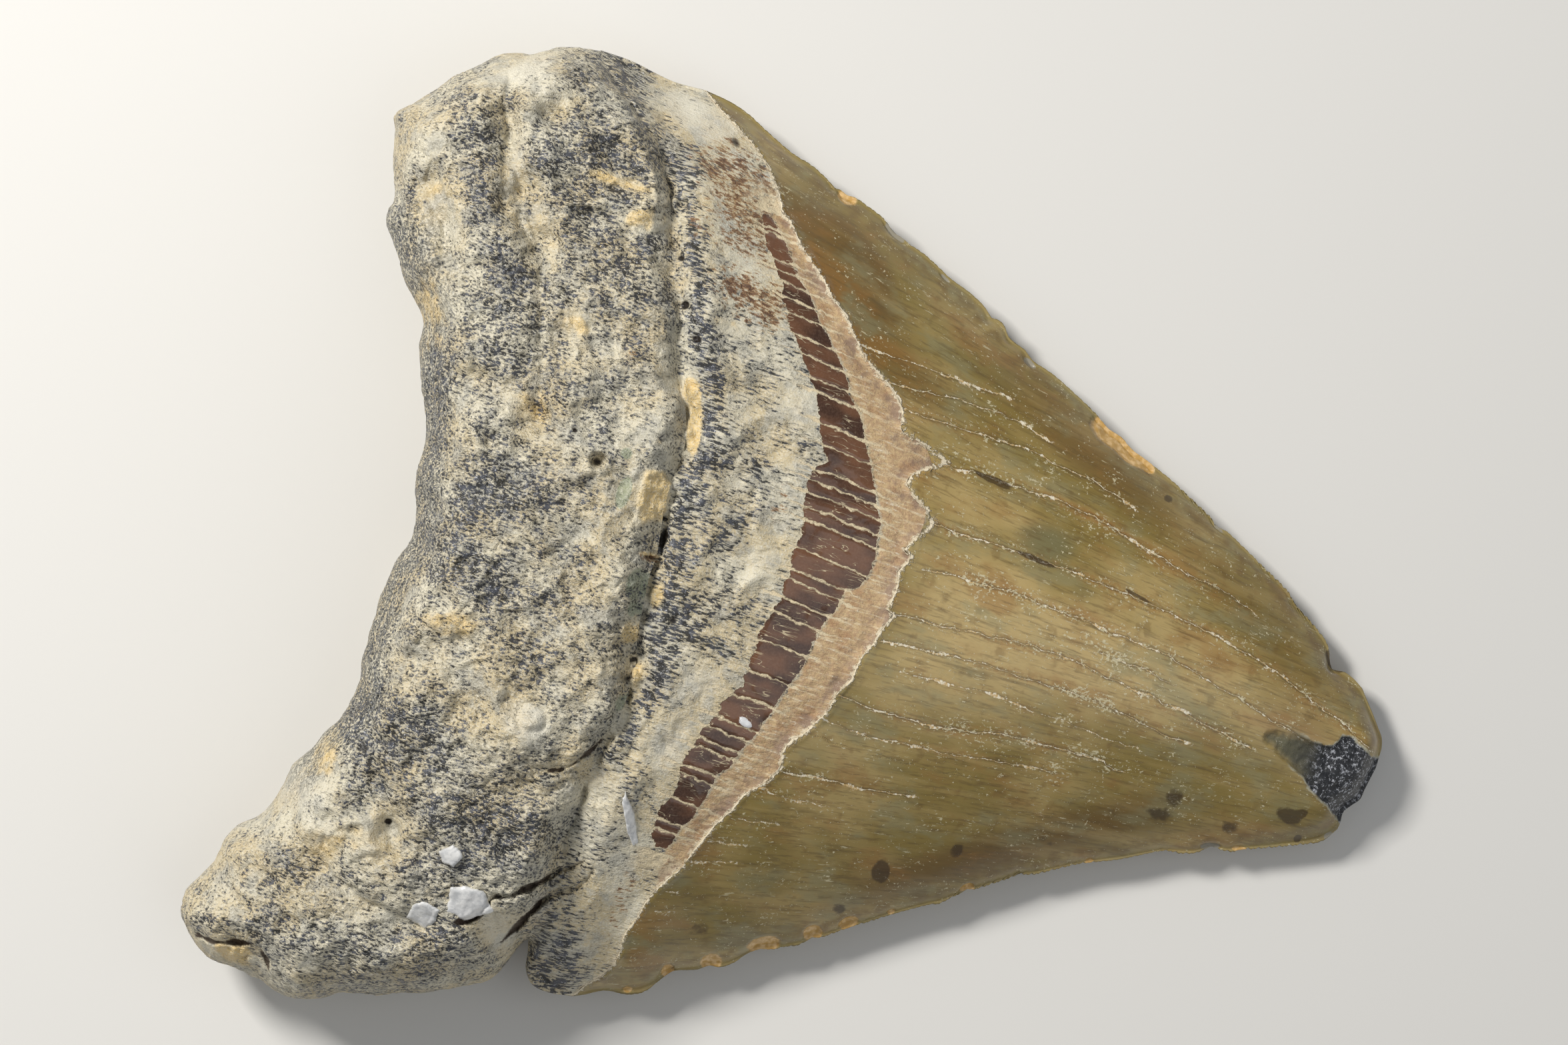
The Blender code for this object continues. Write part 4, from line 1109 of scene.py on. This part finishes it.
def enamelMaterial():
    # olive to golden enamel under streaks, cracks, flecks, spots, chips and the dark tip; one spot is
    # painted shade in a pit and the tip has painted glints
    sheet = Sheet("enamel")
    look = enamelLook
    place = sheet.place
    x, y = place.part("X"), place.part("Y")
    # lines that draw together towards the tip, for streaks and flecks
    flow = y / (1 - (x - 5) * 0.0065)
    flowPlace = sheet.node("ShaderNodeCombineXYZ", {}, {0: x * 0.07, 1: flow, 2: place.part("Z") * 0.3})
    names = ("golden", "brown", "green", "rimShare", "crackCount", "crackGap", "crackForce", "fleck")
    golden, brown, green, rimShare, count, gap, force, fleck = sheet.attributes(*names)
    big = place.stretched(0.6, 1.2, 1).noise(9, 3)
    colour = sheet.mix((big + golden * 0.35).step(0.42, 0.85), look["olive"], look["golden"])
    colour = colour.painted((brown + (big - 0.5) * 0.6).step(0.15, 1) * 0.85, look["brown"])
    colour = colour.painted(green.step(0.2, 1.3) * 0.8, look["green"])
    streaks = flowPlace.noise(0.75, 4, 0.65)
    broad = flowPlace.noise(2.6, 3, 0.6)
    colour = colour.painted(streaks.step(0.52, 0.7) * 0.46, look["streak"])
    colour = colour.painted(broad.step(0.46, 0.72) * 0.42, look["golden"])
    blotch = place.noise(1.6, 3)
    colour = colour.painted(blotch.step(0.56, 0.72) * 0.4, look["brown"])
    tint = place.stretched(0.7, 1.3, 1).noise(5, 4, 0.6)
    amber = (tint + sheet.attribute("amber") * 0.22).step(0.52, 0.72)
    colour = colour.painted(amber * 0.5, look["amber"])
    colour = colour.painted((1 - tint.step(0.34, 0.5)) * 0.5, look["clear"])
    lines = flowPlace.stretched(1.4, 1, 1).noise(0.36, 3, 0.7)
    colour = colour.painted(lines.step(0.5, 0.66) * 0.42, look["streak"])
    nearRim = rimShare.step(0, 0.25) * (1 - rimShare.step(0.3, 0.7)) * 0.5
    colour = colour.painted(nearRim * blotch.step(0.4, 0.6), look["brown"])
    colour = colour.painted(rimShare.step(0.35, 0.85) * 0.6, look["edge"])
    colour = colour.painted(sheet.attribute("serration").step(0.2, 0.9) * 0.2, (66, 54, 28))

    # cracks: pale filled lines, broken into flecks, with a thin dark edge
    waver = (place.stretched(0.7, 1.4, 1).noise(0.7, 3, 0.6) - 0.5) * 0.5
    away = abs((count - count.rounded()) * gap + waver)
    broken = flowPlace.stretched(7, 1, 1).noise(1.5, 3, 0.6)
    grains = place.noise(0.45, 3, 0.7)
    width = (broken * 1.2 + grains * 0.6).step(0.9, 1.28) * 0.38 + 0.045
    shown = (abs(force) * 1.3 + broken * 1.6 + grains * 1.4 - 1.84).step(0, 0.35)
    pale = (1 - (away / width).step(0.5, 1.15)) * shown
    stain = (1 - away.step(0.1, 1.1)) * abs(force) * (broad + grains - 0.5).step(0.42, 0.75)
    colour = colour.painted(stain * 0.7, look["amber"])
    darkLine = (1 - (away - 0.08).step(0.02, 0.22)) * (abs(force) * 1.5 - broken).step(0.1, 0.6)
    colour = colour.painted(darkLine * 0.55, look["streak"])
    crackTone = sheet.mix(grains.step(0.42, 0.62), look["ochre"], look["crack"])
    isPale = force.step(-0.05, 0.15)
    colour = colour.painted(pale * isPale * 0.92, crackTone)

    # fine pale dashes along the crown, and tiny flecks, thicker where the surface is worn
    dashes = flowPlace.stretched(1.8, 1, 1).noise(0.26, 3, 0.6)
    fine = place.stretched(0.8, 1.1, 1).noise(0.33, 3, 0.7)
    clouds = place.noise(2.6, 4, 0.7)
    beside = (1 - away.step(0.1, 1.3)) * abs(force)
    worn = (dashes + clouds * 0.35 + fleck * 0.07).step(0.84, 0.91) * 0.75
    worn = worn.most((fine + clouds * 0.45 + fleck * 0.1 + beside * 0.06).step(0.865, 0.92)) * 0.85
    colour = colour.painted(worn, look["pale"])

    # dark spots of the enamel, and painted shade in the pit of the nick at 51.9, 12.6
    spotAndPitShade = (sheet.attribute("spotAndPitShade") + (place.noise(0.7, 3) - 0.5) * 0.7).step(0.35, 0.75)
    colour = colour.painted(spotAndPitShade * 0.78, look["spotAndPitShade"])

    # the pale ragged line where the enamel begins
    line = (sheet.attribute("fromLine") + (place.noise(0.45, 3, 0.75) - 0.5) * 2).step(0.4, 0.8)
    colour = colour.painted(line * 0.9, look["line"])
    chip = (sheet.attribute("chip") + (place.noise(0.6, 3) - 0.5) * 0.6).step(0.35, 0.7)
    chipTone = sheet.mix(place.noise(0.5, 3).step(0.4, 0.65), look["chip"], (226, 190, 134))
    colour = colour.painted(chip * 0.9, chipTone)
    greyChip = (sheet.attribute("greyChip") + (place.noise(0.5, 3) - 0.5) * 0.8).step(0.4, 0.7)
    colour = colour.painted(greyChip * 0.8, (150, 146, 134))

    # the dark broken tip, with a pale rim and a granular middle whose pale specks are painted glints
    tipIn = sheet.attribute("tipPatch") + (place.noise(0.8, 4, 0.6) - 0.5) * 0.9
    soft = 1 - x.step(47.5, 52.5)
    tipShare = tipIn.step(-0.05, 0.15) * (1 - soft) + tipIn.step(-0.2, 1.1) * soft
    tipTone = sheet.mix((x + (blotch - 0.5) * 4).step(47.5, 53.5), look["tipEdge"], look["tip"])
    gritAndGlint = place.noise(0.42, 4, 0.8)
    # painted glints: pale specks in the tip's granular middle
    tipTone = tipTone.painted(gritAndGlint.step(0.54, 0.59) * x.step(51, 53.5) * 0.9, (190, 192, 198))
    tipRim = (1 - abs(tipIn - 0.05).step(0.06, 0.24)) * x.step(48.5, 51)
    colour = colour.painted(tipShare, tipTone)
    colour = colour.painted(tipRim * 0.8 * blotch.step(0.35, 0.55), (176, 172, 150))

    height = streaks * 0.25 + broad * 0.3 - pale * 0.35 + worn * 0.15 - chip * 0.3
    height = height + line * 1.2 + tipShare * gritAndGlint * 1.2 - tipShare * 0.6
    rough = look["roughness"] + worn * 0.25 + pale * 0.3 + line * 0.3 + streaks * 0.08 - tipShare * 0.14
    grain = sheet.bump(height, 0.12)
    sheet.feed(Base_Color=colour, Roughness=rough, Coat_Weight=0.18 - line * 0.15, Normal=grain)
    sheet.surface.inputs["Coat Roughness"].default_value = 0.18
    return sheet.material


# Pieces

# "bunch" is how far columns draw together at the ends; "rough" holds amount, size, reach and seed;
# "skirt" holds the point that it dives towards, its reach and its depth.
rootShape = {
    "rows": 184, "columns": 460, "step": 4, "bunch": 0.25, "rowBend": 0.25, "rough": (0.35, 1.4, 1.2, 127),
    "skirt": ((0, 2), 0.6, 0.4), "poreDepth": 0.22,
}
neckShape = {
    "rows": 112, "columns": 640, "step": 4, "bunch": 0.15, "skirt": ((12, 2), 0.6, 0.4), "poreDepth": 0.1,
    "cellRise": 0.04, "crackCut": 0.1, "crackHalf": 0.16, "relief": 0.15, "openRelief": 0.45,
    "flakeRise": 0.25,
}
enamelShape = {
    "rows": 456, "columns": 188, "step": 4, "bunch": 0.45, "passes": 400, "serrationDepth": 0.19,
    "serrationReach": 0.4, "notches": [1, 0.35, 0, 0.55, 0.05, 0.4], "slant": 0.25, "chipDepth": 0.7,
    "crackCut": 0.07, "crackHalf": 0.22, "tipSink": 0.35, "tipGrit": 0.16, "sway": 0.05,
    "lip": 0.12, "lipGrit": 0.16, "lipHalf": 0.3,
    # nicks in the edge: middle x, y, radius, depth
    "nicks": [
        (52, 13, 1.25, 1.2), (22.2, 29.7, 1.5, 0.4), (25, 28.4, 1.3, 0.45), (-11.3, 45.4, 0.8, 0.4),
        (-2.2, -37.2, 0.9, 0.5), (2.6, -34, 1.2, 0.5), (7.2, -31.3, 0.8, 0.4), (21.5, -21.8, 0.6, 0.35),
        (44.8, -10.3, 0.9, 0.35), (-5.5, 43.1, 1, 0.4), (36, 23.1, 0.8, 0.3), (9.2, 35.9, 0.8, 0.35),
    ],
}


def bunched(count, share):
    # shares from 0 to 1, drawn together at both ends by a cosine
    even = np.linspace(0, 1, count + 1)
    return (1 - share) * even + share * (1 - np.cos(np.pi * even)) / 2


def gridFields(plan):
    # X, Y and the distance in from the outline at each point of a plan
    x, y = plan[..., 0], plan[..., 1]
    return x, y, distanceTo(x, y, outlineLoop)


def roughOutline(plan, amount, size, reach, seed):
    # points near the outline move towards the tooth's middle by lattice noise, so that no outline is smooth
    x, y, inside = gridFields(plan)
    way = np.array([-6, 1]) - plan
    way /= np.linalg.norm(way, axis=2, keepdims=True)
    push = amount * (0.5 + 0.5 * layeredNoise(x, y, size, seed, 2)) * np.exp(-inside / reach)
    return plan + way * push[..., None]


def lowerSheet(plan, step):
    # every so many points of the plan, at the outer face's height
    x, y, inside = gridFields(plan[::step, ::step])
    return x, y, inside, np.dstack([x, y, bodyHeights(x, y, inside)[1]])


def fourSides(start, end, left, right, across, rows):
    # points on the four sides of a patch, at the same shares on opposite sides
    return [pointsAlong(*side) for side in ((start, across), (end, across), (left, rows), (right, rows))]


def addSkirt(upper, lower, table, step, target, reach, sink):
    # rows past the end of a piece that dive between the neighbour's two sheets, so that the joint has no gap
    way = np.array(target) - upper[-1, :, :2]
    way *= reach / np.linalg.norm(way, axis=1, keepdims=True)
    dive = np.column_stack([way, np.full(len(way), -sink)])
    shares = (np.arange(step) + 1)[:, None, None] / step
    upper = np.concatenate([upper, upper[-1:] + shares * dive[None]])
    lower = np.concatenate([lower, lower[-1:] + dive[None, ::step] * np.array([1, 1, -1])])
    for name, (above, below) in table.items():
        above = np.concatenate([above, np.repeat(above[-1:], step, axis=0)])
        table[name] = (above, np.concatenate([below, below[-1:]]))
    return upper, lower, table


def raised(top, relief, rim, inside, least=0.05):
    # the solid form with its relief, a little above the rim, on which the outline's own points lie
    return np.where(inside <= 0, rim, np.maximum(top + relief, rim + least))


def buildRoot(rootSkin):
    # a patch from the basal margin to the ledge: the solid's height, the relief and the strands' hollows
    shape = rootShape
    across = bunched(shape["columns"], shape["bunch"])
    rows = np.linspace(0, 1, shape["rows"] + 1)
    rows = (1 - shape["rowBend"]) * rows + shape["rowBend"] * rows ** 2
    sides = outlineLines["basal"], ledgeLine, outlineLines["upperLobe"], outlineLines["lowerLobe"]
    plan = patch(*fourSides(*sides, across, rows))
    plan = roughOutline(plan, *shape["rough"])
    x, y, inside = gridFields(plan)
    inside[0] = inside[:, 0] = inside[:, -1] = 0
    top, _, rim = bodyHeights(x, y, inside)
    fields = boneFields(x, y, inside, top)
    relief, inner = boneRelief(x, y, inside, fields, top)
    top = raised(top, relief, rim, inside)
    upper = np.dstack([x, y, top])
    fields["strand"] = strandNoise(x, y, top)
    cut = shape["poreDepth"] * strandCut(fields) * smoothStep(inside, -0.2, 1)
    joint = smoothStep(rows, 1, 0.97)[:, None]
    upper -= surfaceNormals(upper) * (cut * (0.3 + 0.7 * joint))[..., None]
    lowX, lowY, lowInside, lower = lowerSheet(plan, shape["step"])
    below = boneFields(lowX, lowY, lowInside)
    below["strand"] = strandNoise(lowX, lowY, lower[..., 2])
    table = {name: (fields[name], below[name]) for name in fields}
    table["crevice"] = (inner, np.zeros_like(lowX))
    upper, lower, table = addSkirt(upper, lower, table, shape["step"], *shape["skirt"])
    return makePiece("root", upper, lower, shape["step"], (True, False), table, [rootSkin], shape["step"])


def buildNeck(neckSkin, enamelSkin):
    # a patch from the ledge to the enamel line: the relief fades towards the collar, whose cells stand up
    shape = neckShape
    across = bunched(shape["columns"], shape["bunch"])
    rows = np.linspace(0, 1, shape["rows"] + 1)
    sides = ledgeLine, enamelLine, outlineLines["upperNeck"], outlineLines["lowerNeck"]
    plan = patch(*fourSides(*sides, across, rows))
    x, y, inside = gridFields(plan)
    inside[:, 0] = inside[:, -1] = 0
    top, _, rim = bodyHeights(x, y, inside)
    fields = boneFields(x, y, inside, top)
    fields.update(collarFields(x, y))
    fields["toEnamel"] = distanceTo(x, y, enamelLine)
    fields["flake"] = softOvals(x, y, [collar["flake"]])
    relief, inner = boneRelief(x, y, inside, fields, top)
    cell = smoothStep(fields["collar"], -0.05, 0.35)
    calm = smoothStep(fields["toEnamel"], 3, 12) * (1 - smoothStep(fields["collar"], -3, -0.2))
    joint = 1 - smoothStep(rows, 0, 0.2)[:, None]
    kept = shape["relief"] + shape["openRelief"] * calm
    relief = relief * (kept + (1 - kept) * joint) + shape["cellRise"] * cell
    relief += shape["flakeRise"] * np.clip(fields["flake"], 0, 1)
    relief -= shape["crackCut"] * cell * bell(toCrack(fields), shape["crackHalf"])
    top = raised(top, relief, rim, inside)
    upper = np.dstack([x, y, top])
    fields["strand"] = strandNoise(x, y, top)
    cut = shape["poreDepth"] * strandCut(fields) * (1 - cell) * smoothStep(inside, -0.2, 1)
    cut = cut * (1 - 0.34 * joint)
    upper -= surfaceNormals(upper) * cut[..., None]
    lowX, lowY, lowInside, lower = lowerSheet(plan, shape["step"])
    below = enamelFields(lowX, lowY, lowInside, False)
    zero = np.zeros_like(lowX)
    table = {name: (values, zero) for name, values in fields.items()}
    table["crevice"] = (inner, zero)
    for name in below:
        above = fields[name] if name in fields else np.zeros_like(x)
        table[name] = (above, below[name])
    upper, lower, table = addSkirt(upper, lower, table, shape["step"], *shape["skirt"])
    skins = [neckSkin, enamelSkin]
    return makePiece("neck", upper, lower, shape["step"], (False, False), table, skins, shape["step"])


def buildEnamel(enamelSkin):
    # a patch from the enamel line to the tip: edge points move in by serrations and nicks, then the
    # solid's height is taken with the lip, the chips, the cracks and the sunk tip
    shape = enamelShape
    across = bunched(shape["columns"], shape["bunch"])
    rows = np.linspace(0, 1, shape["rows"] + 1)
    sides = enamelLine, outlineLines["tip"], outlineLines["upperEdge"], outlineLines["lowerEdge"]
    plan = calmPatch(fourSides(*sides, across, rows), shape["passes"])
    x, y, inside = gridFields(plan)
    # six rows carry a deep and a shallow notch, which run a short way in from the edge
    notch = np.resize(shape["notches"], shape["rows"] + 1)[:, None]
    worn = 0.3 + 0.7 * smoothStep(layeredNoise(x, y, 6, 131, 2), -0.5, 0.3)
    worn = worn * (0.4 + 0.6 * smoothStep(x, -5, 25))
    fields = enamelFields(x, y, inside)
    worn = worn * (1 - 0.8 * smoothStep(fields["chip"] + fields["greyChip"], 0.2, 0.8))
    ends = (smoothStep(rows, 0, 0.03) * (1 - smoothStep(rows, 0.95, 0.99)))[:, None]
    bite = notch * worn * ends * np.exp(-inside / shape["serrationReach"])
    inwards = np.where(y > 2, 1, -1)
    push = shape["serrationDepth"] * bite
    for nickX, nickY, radius, depth in shape["nicks"]:
        push = push + depth * np.exp(-((x - nickX) ** 2 + (y - nickY) ** 2) / radius ** 2)
    y = y - inwards * push
    x = x - shape["slant"] * push
    plan = np.dstack([x, y])
    inside[-1] = inside[:, 0] = inside[:, -1] = 0
    top, _, rim = bodyHeights(x, y, inside)
    fields = enamelFields(x, y, inside)
    fields["serration"] = bite
    chip = smoothStep(fields["chip"] + fields["greyChip"], 0.25, 0.9)
    relief = shape["sway"] * layeredNoise(x, y, 5, 137, 2) * smoothStep(inside, 0, 2)
    fromLip = distanceTo(x, y, enamelLine) - shape["lipHalf"]
    lip = bell(fromLip, shape["lipHalf"]) * smoothStep(inside, 0, 1)
    relief += lip * (shape["lip"] + shape["lipGrit"] * layeredNoise(x, y, 0.9, 141, 2))
    relief -= shape["chipDepth"] * chip * (0.7 + 0.3 * layeredNoise(x, y, 1.2, 139, 2))
    relief -= shape["crackCut"] * np.abs(fields["crackForce"]) * bell(toCrack(fields), shape["crackHalf"])
    sunk = smoothStep(fields["tipPatch"], -0.1, 0.5)
    relief -= sunk * (shape["tipSink"] + shape["tipGrit"] * layeredNoise(x, y, 0.8, 149, 2))
    top = raised(top, relief, rim, inside, 0.04)
    upper = np.dstack([x, y, top])
    lowX, lowY, lowInside, lower = lowerSheet(plan, shape["step"])
    below = enamelFields(lowX, lowY, lowInside, False)
    below["serration"] = np.zeros_like(lowX)
    table = {name: (fields[name], below[name]) for name in fields}
    return makePiece("enamelCrown", upper, lower, shape["step"], (False, True), table, [enamelSkin])


# Thin half-clear flakes cemented to the root

flakes = {
    "places": [
        ("shellFlakeA", -30.7, -31.7, 1.2, 1.1, 20), ("shellFlakeB", -27.7, -36, 2.7, 2, 15),
        ("shellFlakeC", -31.8, -38.4, 1.8, 1.4, 10), ("shellSliver", -14.4, -23.4, 2.9, 0.6, -62),
    ],
    "thickness": 0.3, "float": 0.12, "root": 0.25, "rings": 14, "points": 96, "sides": 6,
}


def flakeMaterial():
    # cloudy whitish shell
    sheet = Sheet("shellFlake")
    cloud = sheet.place.noise(0.9, 4, 0.6)
    colour = sheet.mix(cloud.step(0.35, 0.65), (196, 197, 197), (232, 231, 228))
    sheet.feed(Base_Color=colour, Roughness=cloud * 0.2 + 0.18, Normal=sheet.bump(cloud, 0.06))
    sheet.surface.inputs["Coat Weight"].default_value = 0.5
    return sheet.material


def buildFlake(name, middleX, middleY, halfLength, halfWidth, turn, skin, seed):
    # rings around the middle: a plate whose border is the nearest of a few straight sides, closed below
    rings, points, sides = flakes["rings"], flakes["points"], flakes["sides"]
    angle = np.linspace(0, 2 * np.pi, points, endpoint=False)
    chance = np.random.RandomState(seed)
    turns = (np.arange(sides) + chance.uniform(-0.35, 0.35, sides)) * 2 * np.pi / sides
    reach = chance.uniform(0.72, 1, sides)
    facing = np.maximum(np.cos(angle[None] - turns[:, None]), 0.05)
    ragged = (reach[:, None] / facing).min(axis=0).clip(0, 1.2)
    ragged = ragged * (1 + 0.05 * latticeNoise(6 * np.cos(angle) + 9, 6 * np.sin(angle), seed))
    share = np.linspace(0.04, 1, rings)[:, None]
    u = halfLength * ragged * share * np.cos(angle)
    v = halfWidth * ragged * share * np.sin(angle)
    c, s = math.cos(math.radians(turn)), math.sin(math.radians(turn))
    x, y = middleX + u * c - v * s, middleY + u * s + v * c
    inside = distanceTo(x, y, outlineLoop)
    ground = bodyHeights(x, y, inside)[0]
    ground = ground + boneRelief(x, y, inside, boneFields(x, y, inside, ground), ground)[0]
    basis = np.column_stack([np.ones(x.size), x.ravel(), y.ravel()])
    plane = (basis @ np.linalg.lstsq(basis, ground.ravel(), rcond=None)[0]).reshape(x.shape)
    ground = plane * 0.7 + ground * 0.3
    rise = flakes["thickness"] * (1 - share ** 9) + 0.03 * latticeNoise(x * 1.7, y * 1.7, seed + 1)
    top = np.dstack([x, y, ground + flakes["float"] + rise])
    base = np.dstack([x, y, ground - flakes["root"]])[::-1]
    grid = np.vstack([top, base])
    count = len(grid)
    index = np.arange(count * points).reshape(count, points)
    turned = np.roll(index, -1, axis=1)
    faces = np.stack([index[:-1], index[1:], turned[1:], turned[:-1]], axis=2).reshape(-1, 4).tolist()
    faces += [index[0].tolist(), index[-1][::-1].tolist()]
    places = grid.reshape(-1, 3).copy()
    places[:, :2] -= planCentre
    mesh = bpy.data.meshes.new(name)
    mesh.from_pydata((places * mm).tolist(), [], faces)
    mesh.polygons.foreach_set("use_smooth", [True] * len(faces))
    mesh.materials.append(skin)
    mesh.validate()
    mesh.update()
    return placed(name, mesh)


rootSkin, neckSkin, enamelSkin = rootMaterial(), neckMaterial(), enamelMaterial()
print("materials are ready")
pieces = [buildRoot(rootSkin), buildNeck(neckSkin, enamelSkin), buildEnamel(enamelSkin)]
flakeSkin = flakeMaterial()
for number, entry in enumerate(flakes["places"]):
    pieces.append(buildFlake(*entry, flakeSkin, 151 + number))
for piece in pieces:
    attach(piece, "root")
    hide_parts("tooth")
print("pieces are ready")

# Floor, light and camera

studio = {
    "floor": (222, 220, 215), "floorSize": 1.6,
    "turn": 16.5,                     # degrees from the tooth's own length to the photo's
    "lens": 100, "sensor": 36,
    # each lamp: name, distance, its way in shares of right, up and height, power, size, colour
    "lamps": [
        ("keyLamp", 0.3, (-0.85, 0.8, 1.25), 2.5, 0.11, (1, 0.98, 0.95)),
        ("fillLamp", 0.45, (0.9, -0.4, 1.3), 1, 0.7, (0.93, 0.96, 1)),
    ],
    "sky": (0.95, 0.97, 1, 1), "skyLight": 0.25,
}


def buildFloor():
    # a flat square, wide enough for every view
    half = studio["floorSize"] / 2
    mesh = bpy.data.meshes.new("floor")
    corners = [(-half, -half, 0), (half, -half, 0), (half, half, 0), (-half, half, 0)]
    mesh.from_pydata(corners, [], [(0, 1, 2, 3)])
    sheet = Sheet("paleFloor")
    sheet.feed(Base_Color=tone(*studio["floor"]), Roughness=0.8)
    mesh.materials.append(sheet.material)
    placed("floor", mesh)


def aim(thing, target):
    # turns a lamp or camera so that its -Z points at the target
    way = np.array(target) - np.array(thing.location)
    flat = math.hypot(way[0], way[1])
    thing.rotation_euler = (math.atan2(flat, -way[2]), 0, math.atan2(way[1], way[0]) - math.pi / 2)


def softLamp(name, place, power, size, colour):
    # a square lamp that faces the tooth
    lamp = bpy.data.lights.new(name, "AREA")
    lamp.energy = power
    lamp.size = size
    lamp.color = colour
    holder = placed(name, lamp)
    holder.location = place
    aim(holder, (0, 0, 0.01))


def buildStudio():
    # the lamps around the tooth as the photo's frame is turned, and a dim even sky
    turn = math.radians(studio["turn"])
    right = np.array([math.cos(turn), math.sin(turn), 0])
    up = np.array([-math.sin(turn), math.cos(turn), 0])
    height = np.array([0, 0, 1])
    for name, away, (a, b, c), power, size, colour in studio["lamps"]:
        softLamp(name, away * (right * a + up * b + height * c), power, size, colour)
    world = bpy.data.worlds.new("studio")
    world.use_nodes = True
    background = world.node_tree.nodes["Background"]
    background.inputs[0].default_value = studio["sky"]
    background.inputs[1].default_value = studio["skyLight"]
    bpy.context.scene.world = world


def buildCamera():
    # looks straight down from the photo's eye
    camera = bpy.data.cameras.new("camera")
    camera.lens = studio["lens"]
    camera.sensor_width = studio["sensor"]
    camera.clip_start = 0.01
    holder = placed("camera", camera)
    x, y = np.array(eye["centre"]) - planCentre
    holder.location = (x * mm, y * mm, (eye["distance"] + eye["outlineHeight"]) * mm)
    holder.rotation_euler = (0, 0, math.radians(studio["turn"]))
    bpy.context.scene.camera = holder


buildFloor()
buildStudio()
buildCamera()
bpy.context.scene.view_settings.view_transform = "Standard"
print("studio is ready")
